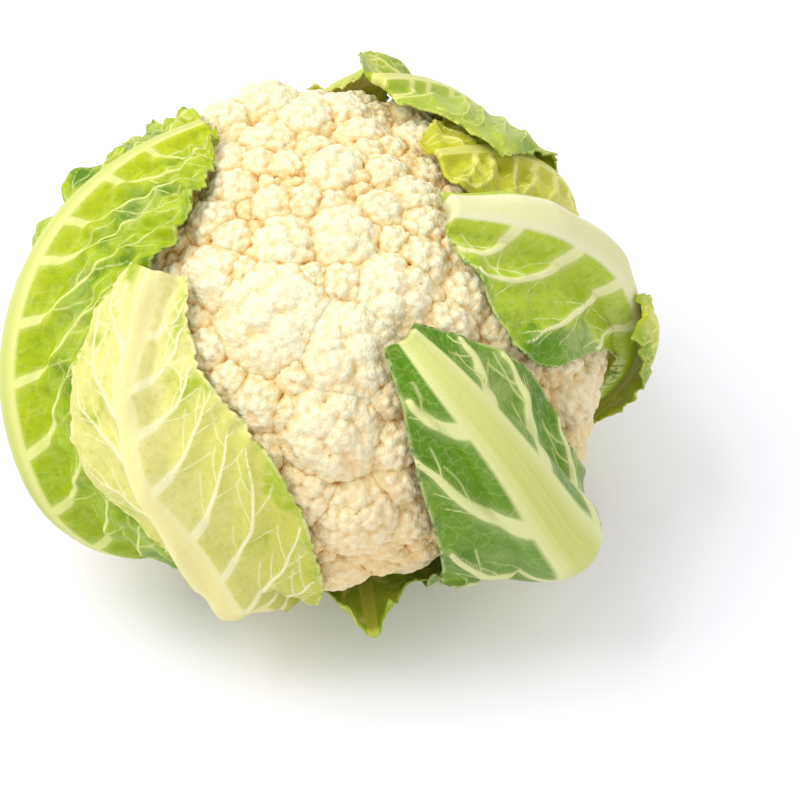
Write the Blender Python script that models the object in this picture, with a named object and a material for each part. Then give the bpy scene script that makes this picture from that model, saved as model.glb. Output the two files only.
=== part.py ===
"""A trimmed cauliflower: a curd of florets on its cut stem, wrapped by ten leaves.

Lengths are in millimetres until a mesh is made. Every form is worked out round the head's
centre, which stands HEAD_HEIGHT above the cut face of the stem, on the stem's own axis.
"""

import math

import bmesh
import bpy
import numpy as np

MM = 0.001
# A direction that nothing lies along, which sideways steps are worked out from.
ASKEW = (0.3, 0.2, 1.0)

# The head: its centre, and the smooth shell that the florets' tops reach.
HEAD_HEIGHT = 64.0
SHELL_RADIUS = 94.0
SHELL_RISE = 78.0
BOWL_DEPTH = 48.0
BOWL_POWER = 2.2
WELL_OUTSIDE = 150.0
SEARCH_STEPS = 40

# The curd.
CORE_DEPTH = 14.0
CURD_FLOOR = 38.0
LEAST_SLOPE = 0.05
LARGEST_FLORET = 18.0
SMALL_SINK = 0.1
FLORET_ROUNDNESS = 1.0
FLORET_OVERLAP = 1.15
CREASE_BLEND = 0.8
LOBE_SPACING = 8.5
LOBE_REACH = 6.0
LOBE_HEIGHT = 2.6
LOBE_START = 0.3
KNOBBLY_FROM = (-0.55, -0.1)
FILL_TRIES = 150
FILL_SIZES = (8.0, 15.0)
FILL_CROWDING = 0.72
FILL_FROM = -0.5
CURD_POINTS = 4200
CURD_SHARP = 100.0
SEED = 11
GOLDEN_ANGLE = math.pi * (3 - math.sqrt(5))

# The stem.
STEM_SPREAD = 20.2
STEM_FLARE = 18.0
STEM_GAP = 0.4
STEM_TOP = HEAD_HEIGHT - CURD_FLOOR - STEM_GAP
STEM_BEVEL = 1.5
STEM_SIDES = 28

# The leaves. The pairs are where along a leaf, from its foot at 0 to its tip at 1, a form sets in.
BLADE = 1.5
LEAST_BLADE = 1.2
BLADE_SHARES = (1, 0.62, 0.28)
RIB_SHARES = (-1, -0.6, 0, 0.6, 1)
SWEEP = 0.22
SWEEP_FROM = (0.1, 0.4)
HUG = 0.7
HUG_FROM = (0.1, 0.35)
CURL_FROM = (0.35, 0.85)
TOOTH_FROM = (0.2, 0.4)
AHEAD = 0.01
LAY_GAP = 1.2
LAY_ROWS = 97
LAY_COLUMNS = 57
LAY_SPREAD = (0.8, 4.8)
SPREAD_FROM = (0.08, 0.35)
SPREAD_TURNS = 12
SMOOTH_PASSES = 10
CLOSE_SHARE = 0.75
BIG_ROWS = 21
SMALL_ROWS = 13
MADE_SHARP = 60.0

# Florets that show from the front, as seen looking 45 degrees down: how far right of the
# head's centre, how far up the view, and radius.
SEEN_FLORETS = [
    (-15, 5, 18.5), (-21, -23, 9.5), (5, -33, 16), (11, -7, 16.5), (28, 13, 15),
    (-12, 31, 11.5), (10, 34, 12.5), (6, 59, 12.5), (-15, 46, 7.5), (-5, 47, 7),
    (22, 44, 8), (23, 58, 8), (-11, 60, 7), (-21, 61, 7), (-31, 52, 9),
    (-37, 41, 9), (-29, 34, 7), (-36, 20, 11.5), (-24, 22, 6), (-19, 70, 10),
    (-20, 82, 11), (-4, 77, 9), (7, 79, 9), (-34, 76, 9), (15, 73, 9),
    (26, 33, 6), (-2, 20, 6), (9, 18, 7.5), (34, 48, 10), (37, 39, 9),
    (36, 26, 10), (-38, -4, 8), (-29, -15, 7), (-19, -37, 8), (-3, -51, 11),
    (13, -58, 13), (26, -36, 8), (27, -46, 8), (30, -59, 9), (22, -76, 14),
    (80, -5, 9), (84, -17, 10), (84, -36, 8), (64, 3, 10), (-68, 1, 9),
    (52, 15, 10), (44, 3, 10), (48, 30, 8), (50, -14, 11), (62, -28, 11),
]
# Of these, the ones that stand out past the shell: the floret's place in the list, and how far.
PROUD_FLORETS = {20: 5, 21: 3, 22: 3, 23: 4, 35: 2, 39: 7, 40: 3, 41: 5, 42: 8}


def unit(azimuth, elevation):
    """The direction with this azimuth, 0 along +X and 90 along +Y, and elevation, in degrees."""
    a, e = math.radians(azimuth), math.radians(elevation)
    return np.array([math.cos(e) * math.cos(a), math.cos(e) * math.sin(a), math.sin(e)])


def normalised(vectors):
    return vectors / np.linalg.norm(vectors, axis=-1, keepdims=True)


def smooth(values, u):
    """A smooth curve through values that are evenly spaced in u from 0 to 1."""
    values = np.asarray(values, float)
    last = len(values) - 1
    padded = np.concatenate([[2 * values[0] - values[1]], values, [2 * values[-1] - values[-2]]])
    x = np.clip(u, 0, 1) * last
    i = np.minimum(x.astype(int), last - 1)
    f = (x - i).reshape(x.shape + (1,) * (values.ndim - 1))
    p, q, r, s = (padded[i + k] for k in range(4))
    return 0.5 * (2 * q + (r - p) * f + (2 * p - 5 * q + 4 * r - s) * f**2 + (3 * q - p - 3 * r + s) * f**3)


def shell_radius(d):
    """How far the smooth shell lies from the head's centre, along each direction."""
    across = np.hypot(d[..., 0], d[..., 1]) / SHELL_RADIUS
    dome = (across**2 + (d[..., 2] / SHELL_RISE) ** 2) ** -0.5
    sunk = (across**BOWL_POWER + np.abs(d[..., 2] / BOWL_DEPTH) ** BOWL_POWER) ** (-1 / BOWL_POWER)
    return np.where(d[..., 2] > 0, dome, sunk)


def ramp(x, low, high):
    """0 up to low, 1 from high, and a smooth step between."""
    t = np.clip((x - low) / (high - low), 0, 1)
    return t * t * (3 - 2 * t)


# The curd

def seen_direction(right, up):
    """The direction to the point of the shell that a view from the front, 45 degrees down, shows there."""
    half = math.sqrt(0.5)
    near, far = 0.0, WELL_OUTSIDE
    for _ in range(SEARCH_STEPS):
        middle = (near + far) / 2
        point = np.array([right, (up - middle) * half, (up + middle) * half])
        distance = np.linalg.norm(point)
        inside = distance < shell_radius(point / distance)
        near, far = (middle, far) if inside else (near, middle)
    point = np.array([right, (up - near) * half, (up + near) * half])
    return normalised(point)


def spiral_directions(count):
    """Directions spread evenly round the head, along a golden spiral from the top to the bottom."""
    k = np.arange(count)
    z = 1 - (2 * k + 1) / count
    ring = np.sqrt(1 - z * z)
    return np.stack([ring * np.cos(k * GOLDEN_ANGLE), ring * np.sin(k * GOLDEN_ANGLE), z], axis=-1)


class Curd:
    """The curd's skin, as a distance from the head's centre along any direction.

    It is made of florets, which are domes of different sizes that dip below the shell towards
    their edges, with small lobes on each. The florets that show are placed by hand, and a golden
    spiral of others fills the room between and behind them.
    """

    def __init__(self):
        self.places = [seen_direction(right, up) for right, up, _ in SEEN_FLORETS]
        self.sizes = [radius for _, _, radius in SEEN_FLORETS]
        self.rises = [PROUD_FLORETS.get(k, 0) for k in range(len(SEEN_FLORETS))]
        rng = np.random.default_rng(SEED)
        for d in spiral_directions(FILL_TRIES):
            self.fill(d, rng.uniform(*FILL_SIZES))
        self.places, self.sizes, self.rises = map(np.array, (self.places, self.sizes, self.rises))
        self.lobes = np.concatenate([self.lobes_on(k) for k in range(len(self.sizes))])

    def fill(self, d, size):
        """Adds a floret there if it overlaps none of the others much."""
        gaps = np.arccos(np.clip(np.array(self.places) @ d, -1, 1)) * shell_radius(d)
        if d[2] > FILL_FROM and (gaps > FILL_CROWDING * (np.array(self.sizes) + size)).all():
            self.places.append(d)
            self.sizes.append(size)
            self.rises.append(0)

    def lobes_on(self, k):
        """Directions of the lobes on floret k, on a golden spiral round its middle."""
        d, size = self.places[k], self.sizes[k]
        side = normalised(np.cross(d, ASKEW))
        other = np.cross(d, side)
        count = max(1, round((2 * size / LOBE_SPACING) ** 2))
        i = np.arange(count)
        reach = size / SHELL_RADIUS * np.sqrt((i + LOBE_START) / count)[:, None]
        turn = (i * GOLDEN_ANGLE + k)[:, None]
        return normalised(d + reach * (np.cos(turn) * side + np.sin(turn) * other))

    def radius(self, d):
        shell = shell_radius(d)
        share = np.arccos(np.clip(d @ self.places.T, -1, 1)) * shell[:, None] / (self.sizes * FLORET_OVERLAP)
        fall = np.minimum(share, 1) ** 2
        sink = (LARGEST_FLORET - self.sizes) * SMALL_SINK
        drop = self.sizes * FLORET_ROUNDNESS * fall + sink - self.rises * (1 - fall)
        least, next_least = np.partition(drop, 1, axis=1)[:, :2].T
        drop = least - CREASE_BLEND * np.log(1 + np.exp((least - next_least) / CREASE_BLEND))
        to_lobe = (np.arccos(np.clip(d @ self.lobes.T, -1, 1)) * shell[:, None]).min(axis=1)
        hollow = LOBE_HEIGHT * np.minimum(to_lobe / LOBE_REACH, 1) ** 2
        skin = shell - np.minimum(drop, CORE_DEPTH) - hollow * ramp(d[:, 2], *KNOBBLY_FROM)
        floor = CURD_FLOOR / np.maximum(-d[:, 2], LEAST_SLOPE)
        return np.minimum(skin, floor)


def make_curd(curd):
    """The curd as one solid: a golden spiral of points round the head, joined up and moved to the skin."""
    directions = spiral_directions(CURD_POINTS)
    mesh = bmesh.new()
    for d in directions:
        mesh.verts.new(d)
    bmesh.ops.convex_hull(mesh, input=mesh.verts)
    bmesh.ops.recalc_face_normals(mesh, faces=mesh.faces)
    for vertex, d, radius in zip(mesh.verts, directions, curd.radius(directions)):
        vertex.co = placed(d * radius)
    return finish_object("curd", mesh, CURD_SHARP)


def placed(points):
    """Millimetres from the head's centre, as metres above the resting face."""
    return (points + np.array([0, 0, HEAD_HEIGHT])) * MM


# The stem

def make_stem():
    """The cut stem: a flared foot that the outer leaves are set on, and a neck up into the curd."""
    spread = math.tan(math.radians(STEM_SPREAD))
    neck = spread * (HEAD_HEIGHT - STEM_FLARE)
    profile = [
        (0.0, spread * HEAD_HEIGHT - STEM_BEVEL),
        (STEM_BEVEL, spread * (HEAD_HEIGHT - STEM_BEVEL)),
        (STEM_FLARE, neck),
        (STEM_TOP, neck),
    ]
    mesh = bmesh.new()
    rings = []
    for height, radius in profile:
        circle = bmesh.ops.create_circle(mesh, segments=STEM_SIDES, radius=radius * MM)["verts"]
        for vertex in circle:
            vertex.co.z = height * MM
        rings.append(circle)
    for low, high in zip(rings, rings[1:]):
        for k in range(STEM_SIDES):
            after = (k + 1) % STEM_SIDES
            mesh.faces.new([low[k], low[after], high[after], high[k]])
    mesh.faces.new(rings[0][::-1])
    mesh.faces.new(rings[-1])
    bmesh.ops.recalc_face_normals(mesh, faces=mesh.faces)
    return finish_object("stem", mesh, MADE_SHARP)


# The leaves

class Laid:
    """How far out the curd and the leaves laid so far reach, in cells of two degrees round the head."""

    CELL = 2.0

    def __init__(self, curd):
        elevation = np.arange(-90, 90 + self.CELL, self.CELL)
        azimuth = np.arange(0, 360, self.CELL)
        self.reach = np.stack([curd.radius(np.array([unit(a, e) for a in azimuth])) for e in elevation])

    def cells(self, d):
        elevation = np.degrees(np.arcsin(np.clip(d[..., 2], -1, 1)))
        azimuth = np.degrees(np.arctan2(d[..., 1], d[..., 0])) % 360
        row = np.rint((elevation + 90) / self.CELL).astype(int)
        return row, np.rint(azimuth / self.CELL).astype(int) % self.reach.shape[1]

    def add(self, d, radius):
        row, column = self.cells(d)
        np.maximum.at(self.reach, (row.ravel(), column.ravel()), radius.ravel())

    def under(self, d, spread):
        """The furthest reach within spread degrees of each direction."""
        side = normalised(np.cross(d, ASKEW))
        other = np.cross(d, side)
        found = self.reach[self.cells(d)]
        for share in (0.5, 1.0):
            for turn in np.arange(SPREAD_TURNS) * 2 * math.pi / SPREAD_TURNS:
                step = np.tan(np.radians(spread * share))[..., None]
                beside = d + step * (math.cos(turn) * side + math.sin(turn) * other)
                found = np.maximum(found, self.reach[self.cells(normalised(beside))])
        return found


class Leaf:
    """A leaf given at even stations from its foot on the stem to its tip.

    route holds the azimuth and elevation of the rib at each station, lift its height over the
    shell, left and right the blade's half widths as seen from outside with the tip up, and rib
    and swell the rib's half width and height. curl is how far each margin turns out near the
    tip, and wave the height and number of the waves along both margins.
    """

    def __init__(self, name, route, lift, left, right, rib, swell, curl=(0, 0), wave=(1.2, 5), tooth=1.0):
        self.name = name
        self.route = np.array([unit(*point) for point in route])
        self.lift, self.left, self.right = lift, left, right
        self.rib, self.swell = rib, swell
        self.curl, self.wave, self.tooth = curl, wave, tooth

    def half_widths(self, u):
        least = smooth(self.rib, u) + LEAST_BLADE
        return np.maximum(smooth(self.left, u), least), np.maximum(smooth(self.right, u), least)

    def directions(self, u, x):
        """Directions from the head's centre to the points x millimetres across the leaf at u."""
        d = normalised(smooth(self.route, u))
        ahead = smooth(self.route, np.minimum(u + AHEAD, 1)) - smooth(self.route, np.maximum(u - AHEAD, 0))
        along = normalised(ahead - (ahead * d).sum(-1, keepdims=True) * d)
        side = np.cross(along, d)
        turn = (x / shell_radius(d))[..., None]
        lean = SWEEP * np.abs(turn) * ramp(u, *SWEEP_FROM)[..., None]
        return normalised(d * np.cos(turn) + side * np.sin(turn) + along * lean)

    def thickness(self, u, x):
        share = np.minimum(np.abs(x) / smooth(self.rib, u), 1)
        return BLADE + smooth(self.swell, u) * np.sqrt(1 - share**2)

    def lay(self, laid):
        """Settles the leaf over the shell and over the curd and every leaf laid before it."""
        u, v = np.meshgrid(np.linspace(0, 1, LAY_ROWS), np.linspace(-1, 1, LAY_COLUMNS), indexing="ij")
        left, right = self.half_widths(u)
        x = v * np.where(v < 0, left, right)
        d = self.directions(u, x)
        margin = v**2 * ramp(u, *HUG_FROM)
        curl = np.where(v < 0, self.curl[0], self.curl[1]) * ramp(u, *CURL_FROM)
        waves = self.wave[0] * (1 + np.sin(2 * math.pi * self.wave[1] * u + 2 * v))
        hug = 1 - HUG * margin
        wanted = shell_radius(d) + smooth(self.lift, u) * hug + margin * (curl * np.abs(v) + waves)
        spread = LAY_SPREAD[0] + (LAY_SPREAD[1] - LAY_SPREAD[0]) * ramp(u, *SPREAD_FROM)
        wide = laid.under(d, spread) + LAY_GAP
        close = laid.under(d, spread * CLOSE_SHARE) + LAY_GAP
        inner = np.maximum(wanted, wide)
        for _ in range(SMOOTH_PASSES):
            padded = np.pad(inner, 1, mode="edge")
            around = padded[:-2, 1:-1] + padded[2:, 1:-1] + padded[1:-1, :-2] + padded[1:-1, 2:]
            inner = np.maximum((inner + around) / 5, close)
        self.inner = inner
        laid.add(d, inner + self.thickness(u, x))

    def inner_radius(self, u, v):
        """The laid inner face's distance from the head's centre, between the points where it was settled."""
        row = np.clip(u, 0, 1) * (LAY_ROWS - 1)
        column = (np.clip(v, -1, 1) + 1) / 2 * (LAY_COLUMNS - 1)
        i = np.minimum(row.astype(int), LAY_ROWS - 2)
        j = np.minimum(column.astype(int), LAY_COLUMNS - 2)
        f, g = row - i, column - j
        top = self.inner[i, j] * (1 - g) + self.inner[i, j + 1] * g
        bottom = self.inner[i + 1, j] * (1 - g) + self.inner[i + 1, j + 1] * g
        return top * (1 - f) + bottom * f

    def columns(self, u):
        """Points across each row: five over the rib and three on each half of the blade."""
        left, right = self.half_widths(u)
        notch = self.tooth * np.where(np.arange(len(u)) % 2, 1, -1) * ramp(u, *TOOTH_FROM)
        left, right = left + notch, right - notch
        rib = smooth(self.rib, u)
        across = [-(rib + (left - rib) * share) for share in BLADE_SHARES]
        across += [rib * share for share in RIB_SHARES]
        across += [rib + (right - rib) * share for share in BLADE_SHARES[::-1]]
        return np.stack(across, axis=1)

    def build(self, rows):
        """The leaf as one closed body of two grids, with the same diagonals, joined round the rim."""
        u = np.linspace(0, 1, rows)
        x = self.columns(u)
        u = np.repeat(u[:, None], x.shape[1], axis=1)
        left, right = self.half_widths(u)
        v = x / np.where(x < 0, left, right)
        d = self.directions(u, x)
        inner = self.inner_radius(u, v)
        outer = inner + self.thickness(u, x)
        mesh = bmesh.new()
        faces = [
            [[mesh.verts.new(placed(point)) for point in row] for row in d * radius[..., None]]
            for radius in (inner, outer)
        ]
        rows, columns = x.shape
        for i in range(rows - 1):
            for j in range(columns - 1):
                for side in faces:
                    mesh.faces.new([side[i][j], side[i][j + 1], side[i + 1][j + 1]])
                    mesh.faces.new([side[i][j], side[i + 1][j + 1], side[i + 1][j]])
        rim = [(0, j) for j in range(columns)] + [(i, columns - 1) for i in range(1, rows)]
        rim += [(rows - 1, j) for j in range(columns - 2, -1, -1)] + [(i, 0) for i in range(rows - 2, 0, -1)]
        for (i, j), (k, m) in zip(rim, rim[1:] + rim[:1]):
            mesh.faces.new([faces[0][i][j], faces[0][k][m], faces[1][k][m]])
            mesh.faces.new([faces[0][i][j], faces[1][k][m], faces[1][i][j]])
        bmesh.ops.recalc_face_normals(mesh, faces=mesh.faces)
        return finish_object(self.name, mesh, MADE_SHARP)


# Innermost first, as they lie on the curd.
LEAVES = [
    Leaf("leaf_inner_right",
         route=[(44, -62), (40, -35), (34, -5), (28, 22), (24, 44), (16, 62)],
         lift=(-8, -6, 0, 1, 1, 1),
         left=(6, 12, 24, 32, 30, 12), right=(6, 12, 24, 28, 22, 8),
         rib=(5, 5, 4.5, 4, 3, 2), swell=(4, 4, 3.5, 3, 2, 1), wave=(0.6, 4)),
    Leaf("leaf_small_front",
         route=[(-73, -62), (-74, -50), (-77, -37), (-79, -25)],
         lift=(-7, -3, 8, 20),
         left=(5, 12, 18, 6), right=(5, 12, 18, 6),
         rib=(4.5, 4, 3, 2), swell=(4, 3, 2, 1), wave=(0.8, 3)),
    Leaf("leaf_back",
         route=[(113, -69), (111, -50), (108, -32), (105, -14), (100, 3), (91, 14), (84, 24), (78, 33)],
         lift=(-2, 0, 1, 1, 1, 1, 3, 6),
         left=(7, 9, 20, 34, 36, 24, 12, 6), right=(7, 9, 20, 32, 28, 15, 6, 5),
         rib=(7, 7.5, 7.5, 7, 6, 5, 4, 3), swell=(8, 9, 9, 8, 6.5, 5, 3.5, 2)),
    Leaf("leaf_back_left",
         route=[(160, -69), (159, -50), (156, -32), (152, -14), (148, 0), (144, 9), (140, 16), (136, 23)],
         lift=(-2, 0, 1, 1, 1.5, 1.5, 1.5, 1.5),
         left=(7, 9, 20, 34, 34, 24, 13, 7), right=(7, 9, 20, 34, 38, 30, 18, 8),
         rib=(7, 7.5, 7.5, 7, 6, 5, 4, 3), swell=(8, 9, 9, 8, 6.5, 5, 3.5, 2)),
    Leaf("leaf_left",
         route=[(212, -69), (217, -47), (221, -26), (214, -4), (200, 14), (184, 32), (165, 48), (143, 57)],
         lift=(-2, 0, 2, 6, 7, 6, 3, 1),
         left=(7, 10, 14, 22, 28, 32, 30, 9), right=(7, 14, 34, 46, 42, 42, 31, 8),
         rib=(7.5, 8, 8.5, 8, 7.5, 6, 4, 3), swell=(9, 9, 9, 9, 8.5, 7, 5, 2), wave=(1.2, 6)),
    Leaf("leaf_right",
         route=[(22, -69), (20, -50), (14, -31), (6, -12), (0, 7), (-3, 25), (-9, 43), (-22, 59)],
         lift=(-2, -2, -2, -1, 0, 3, 3, 2),
         left=(7, 9, 9, 9, 13, 42, 34, 7), right=(7, 9, 9, 9.5, 9.5, 9, 8.5, 7),
         rib=(7, 7.5, 8, 8, 8, 7.5, 7, 5.5), swell=(8, 9, 9, 10, 10, 10, 8.5, 6), wave=(1.0, 5)),
    Leaf("leaf_back_right",
         route=[(66, -69), (62, -50), (58, -31), (55, -12), (54, 7), (56, 25), (61, 41), (68, 55)],
         lift=(-2, 0, 1, 1, 1.5, 2, 3, 5),
         left=(7, 9, 14, 20, 27, 41, 47, 12), right=(7, 9, 16, 26, 32, 32, 22, 7),
         rib=(7, 7.5, 7.5, 7, 6, 5, 4.5, 4), swell=(8, 9, 9, 8, 6.5, 5, 4, 2.5), curl=(0, 9)),
    Leaf("leaf_small_right",
         route=[(-5, -69), (3, -46), (8, -24), (3, -1), (-6, 14)],
         lift=(-2, -1, -1, 1, 2),
         left=(5, 6, 7, 16, 8), right=(5, 6, 7, 9, 5),
         rib=(4, 4, 3.5, 3, 2), swell=(5, 5, 4, 3, 1), curl=(6, 0), wave=(0.8, 2)),
    Leaf("leaf_front_right",
         route=[(-41, -69), (-41, -50), (-40, -32), (-41, -14), (-49, 3), (-55, 19), (-61, 33), (-66, 43)],
         lift=(-2, 1, 8, 13, 11, 9, 7, 5),
         left=(7, 12, 26, 36, 30, 23, 13, 6), right=(7, 9, 14, 19, 23, 25, 16, 6),
         rib=(7, 9, 11, 12, 10.5, 8.5, 7, 4.5), swell=(9, 10, 11, 12, 10, 8, 7, 5), wave=(1.0, 4)),
    Leaf("leaf_front_left",
         route=[(-100, -69), (-103, -50), (-106, -32), (-107, -14),
                (-112, 1), (-122, 16), (-131, 31), (-141, 48)],
         lift=(-2, -3, -5, -4, 0, 3, 4, 3),
         left=(7, 8, 9, 9, 10, 24, 20, 9), right=(7, 9, 16, 29, 36, 30, 16, 6),
         rib=(7, 7.5, 7.5, 7, 5, 4, 3, 2), swell=(8, 9, 9, 8.5, 6.5, 5, 4, 2), wave=(1.0, 5)),
]
SMALL_LEAVES = ("leaf_small_front", "leaf_small_right")

# Base colour and roughness of each piece.
FINISHES = {
    "curd": ((0.86, 0.74, 0.52), 0.6),
    "stem": ((0.66, 0.72, 0.42), 0.55),
    "leaf_inner_right": ((0.72, 0.76, 0.22), 0.45),
    "leaf_small_front": ((0.38, 0.58, 0.10), 0.45),
    "leaf_back": ((0.55, 0.68, 0.18), 0.45),
    "leaf_back_left": ((0.60, 0.70, 0.24), 0.45),
    "leaf_left": ((0.36, 0.58, 0.08), 0.45),
    "leaf_right": ((0.42, 0.60, 0.12), 0.45),
    "leaf_back_right": ((0.44, 0.62, 0.18), 0.45),
    "leaf_small_right": ((0.22, 0.42, 0.07), 0.45),
    "leaf_front_right": ((0.16, 0.38, 0.08), 0.4),
    "leaf_front_left": ((0.68, 0.74, 0.28), 0.45),
}


def finish_object(name, mesh, sharp_degrees):
    """Turns a bmesh into a named, smooth-shaded object with its own material."""
    data = bpy.data.meshes.new(name)
    mesh.to_mesh(data)
    mesh.free()
    data.shade_smooth()
    data.set_sharp_from_angle(angle=math.radians(sharp_degrees))
    colour, roughness = FINISHES[name]
    material = bpy.data.materials.new(name)
    material.use_nodes = True
    surface = material.node_tree.nodes["Principled BSDF"]
    surface.inputs["Base Color"].default_value = (*colour, 1)
    surface.inputs["Roughness"].default_value = roughness
    data.materials.append(material)
    made = bpy.data.objects.new(name, data)
    bpy.context.scene.collection.objects.link(made)
    return made


def main():
    for old in list(bpy.data.objects):
        bpy.data.objects.remove(old)
    curd = Curd()
    make_curd(curd)
    make_stem()
    laid = Laid(curd)
    for leaf in LEAVES:
        leaf.lay(laid)
        leaf.build(SMALL_ROWS if leaf.name in SMALL_LEAVES else BIG_ROWS)


main()
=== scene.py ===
# %% [markdown]
# # A trimmed cauliflower
# A cauliflower is a flower head that never opened: a curd of florets on a cut stem, with the
# ends of its own leaves still wrapped round it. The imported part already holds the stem, the curd
# and ten leaves as plain solids. This lesson gives each one its fine shape and its colour,
# without moving any of them.

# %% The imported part
import math

import bmesh
import bpy
import numpy as np
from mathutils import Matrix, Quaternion, Vector


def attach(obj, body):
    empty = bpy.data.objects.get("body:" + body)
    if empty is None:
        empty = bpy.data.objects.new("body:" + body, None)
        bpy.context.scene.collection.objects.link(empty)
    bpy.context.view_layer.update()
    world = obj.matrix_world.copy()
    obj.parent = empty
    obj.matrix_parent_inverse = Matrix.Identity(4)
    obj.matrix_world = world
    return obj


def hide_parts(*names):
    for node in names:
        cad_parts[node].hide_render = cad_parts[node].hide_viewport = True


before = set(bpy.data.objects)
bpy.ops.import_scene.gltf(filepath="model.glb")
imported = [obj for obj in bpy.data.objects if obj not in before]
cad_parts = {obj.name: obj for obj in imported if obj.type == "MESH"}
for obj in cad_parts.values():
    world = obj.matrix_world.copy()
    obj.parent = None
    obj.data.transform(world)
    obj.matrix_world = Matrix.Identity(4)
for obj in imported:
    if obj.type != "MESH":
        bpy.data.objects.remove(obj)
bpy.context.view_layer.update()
print("solids:", sorted(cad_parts))

# %% [markdown]
# ## The camera
# The photograph looks down on the head at 45 degrees. A long lens keeps the near leaves from
# swelling, so the camera stands 1.1 m away. The head sits a little left of the middle of the
# picture and above it, which is done by aiming past the head and not by shifting the lens.

# %% Camera
MM = 0.001
HEAD_HEIGHT = 64.0
CAMERA_DOWN = math.radians(45)
CAMERA_DISTANCE = 1.1
FRAME_PIXELS = 800
PIXELS_PER_MM = 3.05
HEAD_PIXEL = (322, 346)
SENSOR = 36.0

head = Vector((0, 0, HEAD_HEIGHT * MM))
back = Vector((0, -math.cos(CAMERA_DOWN), math.sin(CAMERA_DOWN)))
right = Vector((1, 0, 0))
up = back.cross(right)
half_frame = FRAME_PIXELS / 2
aim = head + right * ((half_frame - HEAD_PIXEL[0]) / PIXELS_PER_MM * MM)
aim -= up * ((half_frame - HEAD_PIXEL[1]) / PIXELS_PER_MM * MM)


def faced(thing, direction):
    """Turns a camera or lamp so that its back is towards the direction."""
    thing.rotation_mode = "QUATERNION"
    thing.rotation_quaternion = direction.to_track_quat("Z", "Y")


def added(name, data):
    """A new object in the scene, with these data."""
    made = bpy.data.objects.new(name, data)
    bpy.context.scene.collection.objects.link(made)
    return made


camera = added("camera", bpy.data.cameras.new("camera"))
camera.location = aim + back * CAMERA_DISTANCE
faced(camera, back)
camera.data.sensor_width = SENSOR
camera.data.lens = SENSOR * CAMERA_DISTANCE / (FRAME_PIXELS / PIXELS_PER_MM * MM)
bpy.context.scene.camera = camera
print("lens", round(camera.data.lens), "mm")

# %% [markdown]
# ## One shell for everything
# Curd and leaves are all worked out round the head's centre: a point is a direction and a
# distance. The smooth shell is a low dome above the centre and a shallower bowl below it, and the
# tops of the florets reach it.

# %% The shell
SHELL_RADIUS = 94.0
SHELL_RISE = 78.0
BOWL_DEPTH = 48.0
BOWL_POWER = 2.2
GOLDEN_ANGLE = math.pi * (3 - math.sqrt(5))


def unit(azimuth, elevation):
    """A direction, with azimuth 0 along +X and 90 along +Y, and elevation, in degrees."""
    a, e = math.radians(azimuth), math.radians(elevation)
    return np.array([math.cos(e) * math.cos(a), math.cos(e) * math.sin(a), math.sin(e)])


def normalised(vectors):
    return vectors / np.linalg.norm(vectors, axis=-1, keepdims=True)


def ramp(x, low, high):
    """0 up to low, 1 from high, and a smooth step between."""
    t = np.clip((x - low) / (high - low), 0, 1)
    return t * t * (3 - 2 * t)


def smooth(values, u):
    """A smooth curve through values that are evenly spaced in u from 0 to 1."""
    values = np.asarray(values, float)
    last = len(values) - 1
    padded = np.concatenate([[2 * values[0] - values[1]], values, [2 * values[-1] - values[-2]]])
    x = np.clip(u, 0, 1) * last
    i = np.minimum(x.astype(int), last - 1)
    f = (x - i).reshape(x.shape + (1,) * (values.ndim - 1))
    p, q, r, s = (padded[i + k] for k in range(4))
    return 0.5 * (2 * q + (r - p) * f + (2 * p - 5 * q + 4 * r - s) * f**2 + (3 * q - p - 3 * r + s) * f**3)


def shell_radius(d):
    """How far the smooth shell lies from the head's centre, along each direction."""
    across = np.hypot(d[..., 0], d[..., 1]) / SHELL_RADIUS
    dome = (across**2 + (d[..., 2] / SHELL_RISE) ** 2) ** -0.5
    sunk = (across**BOWL_POWER + np.abs(d[..., 2] / BOWL_DEPTH) ** BOWL_POWER) ** (-1 / BOWL_POWER)
    return np.where(d[..., 2] > 0, dome, sunk)


def spiral_directions(count, highest=1.0, lowest=-1.0):
    """Directions along a golden spiral between two heights of the unit ball."""
    k = np.arange(count)
    z = highest - (highest - lowest) * (k + 0.5) / count
    ring = np.sqrt(1 - z * z)
    return np.stack([ring * np.cos(k * GOLDEN_ANGLE), ring * np.sin(k * GOLDEN_ANGLE), z], axis=-1)


def placed(points):
    """Millimetres from the head's centre, as metres above the floor."""
    return (points + np.array([0, 0, HEAD_HEIGHT])) * MM


print("shell: top", SHELL_RISE, "mm, side", SHELL_RADIUS, "mm, bottom", BOWL_DEPTH, "mm")

# %% [markdown]
# ## Where the florets sit
# The florets that the camera sees are placed one by one, as they lie in its view: so far right
# and up from the head's centre, and so wide. A golden spiral, which is how the plant itself sets
# them, fills the rest of the head wherever there is room.

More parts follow.
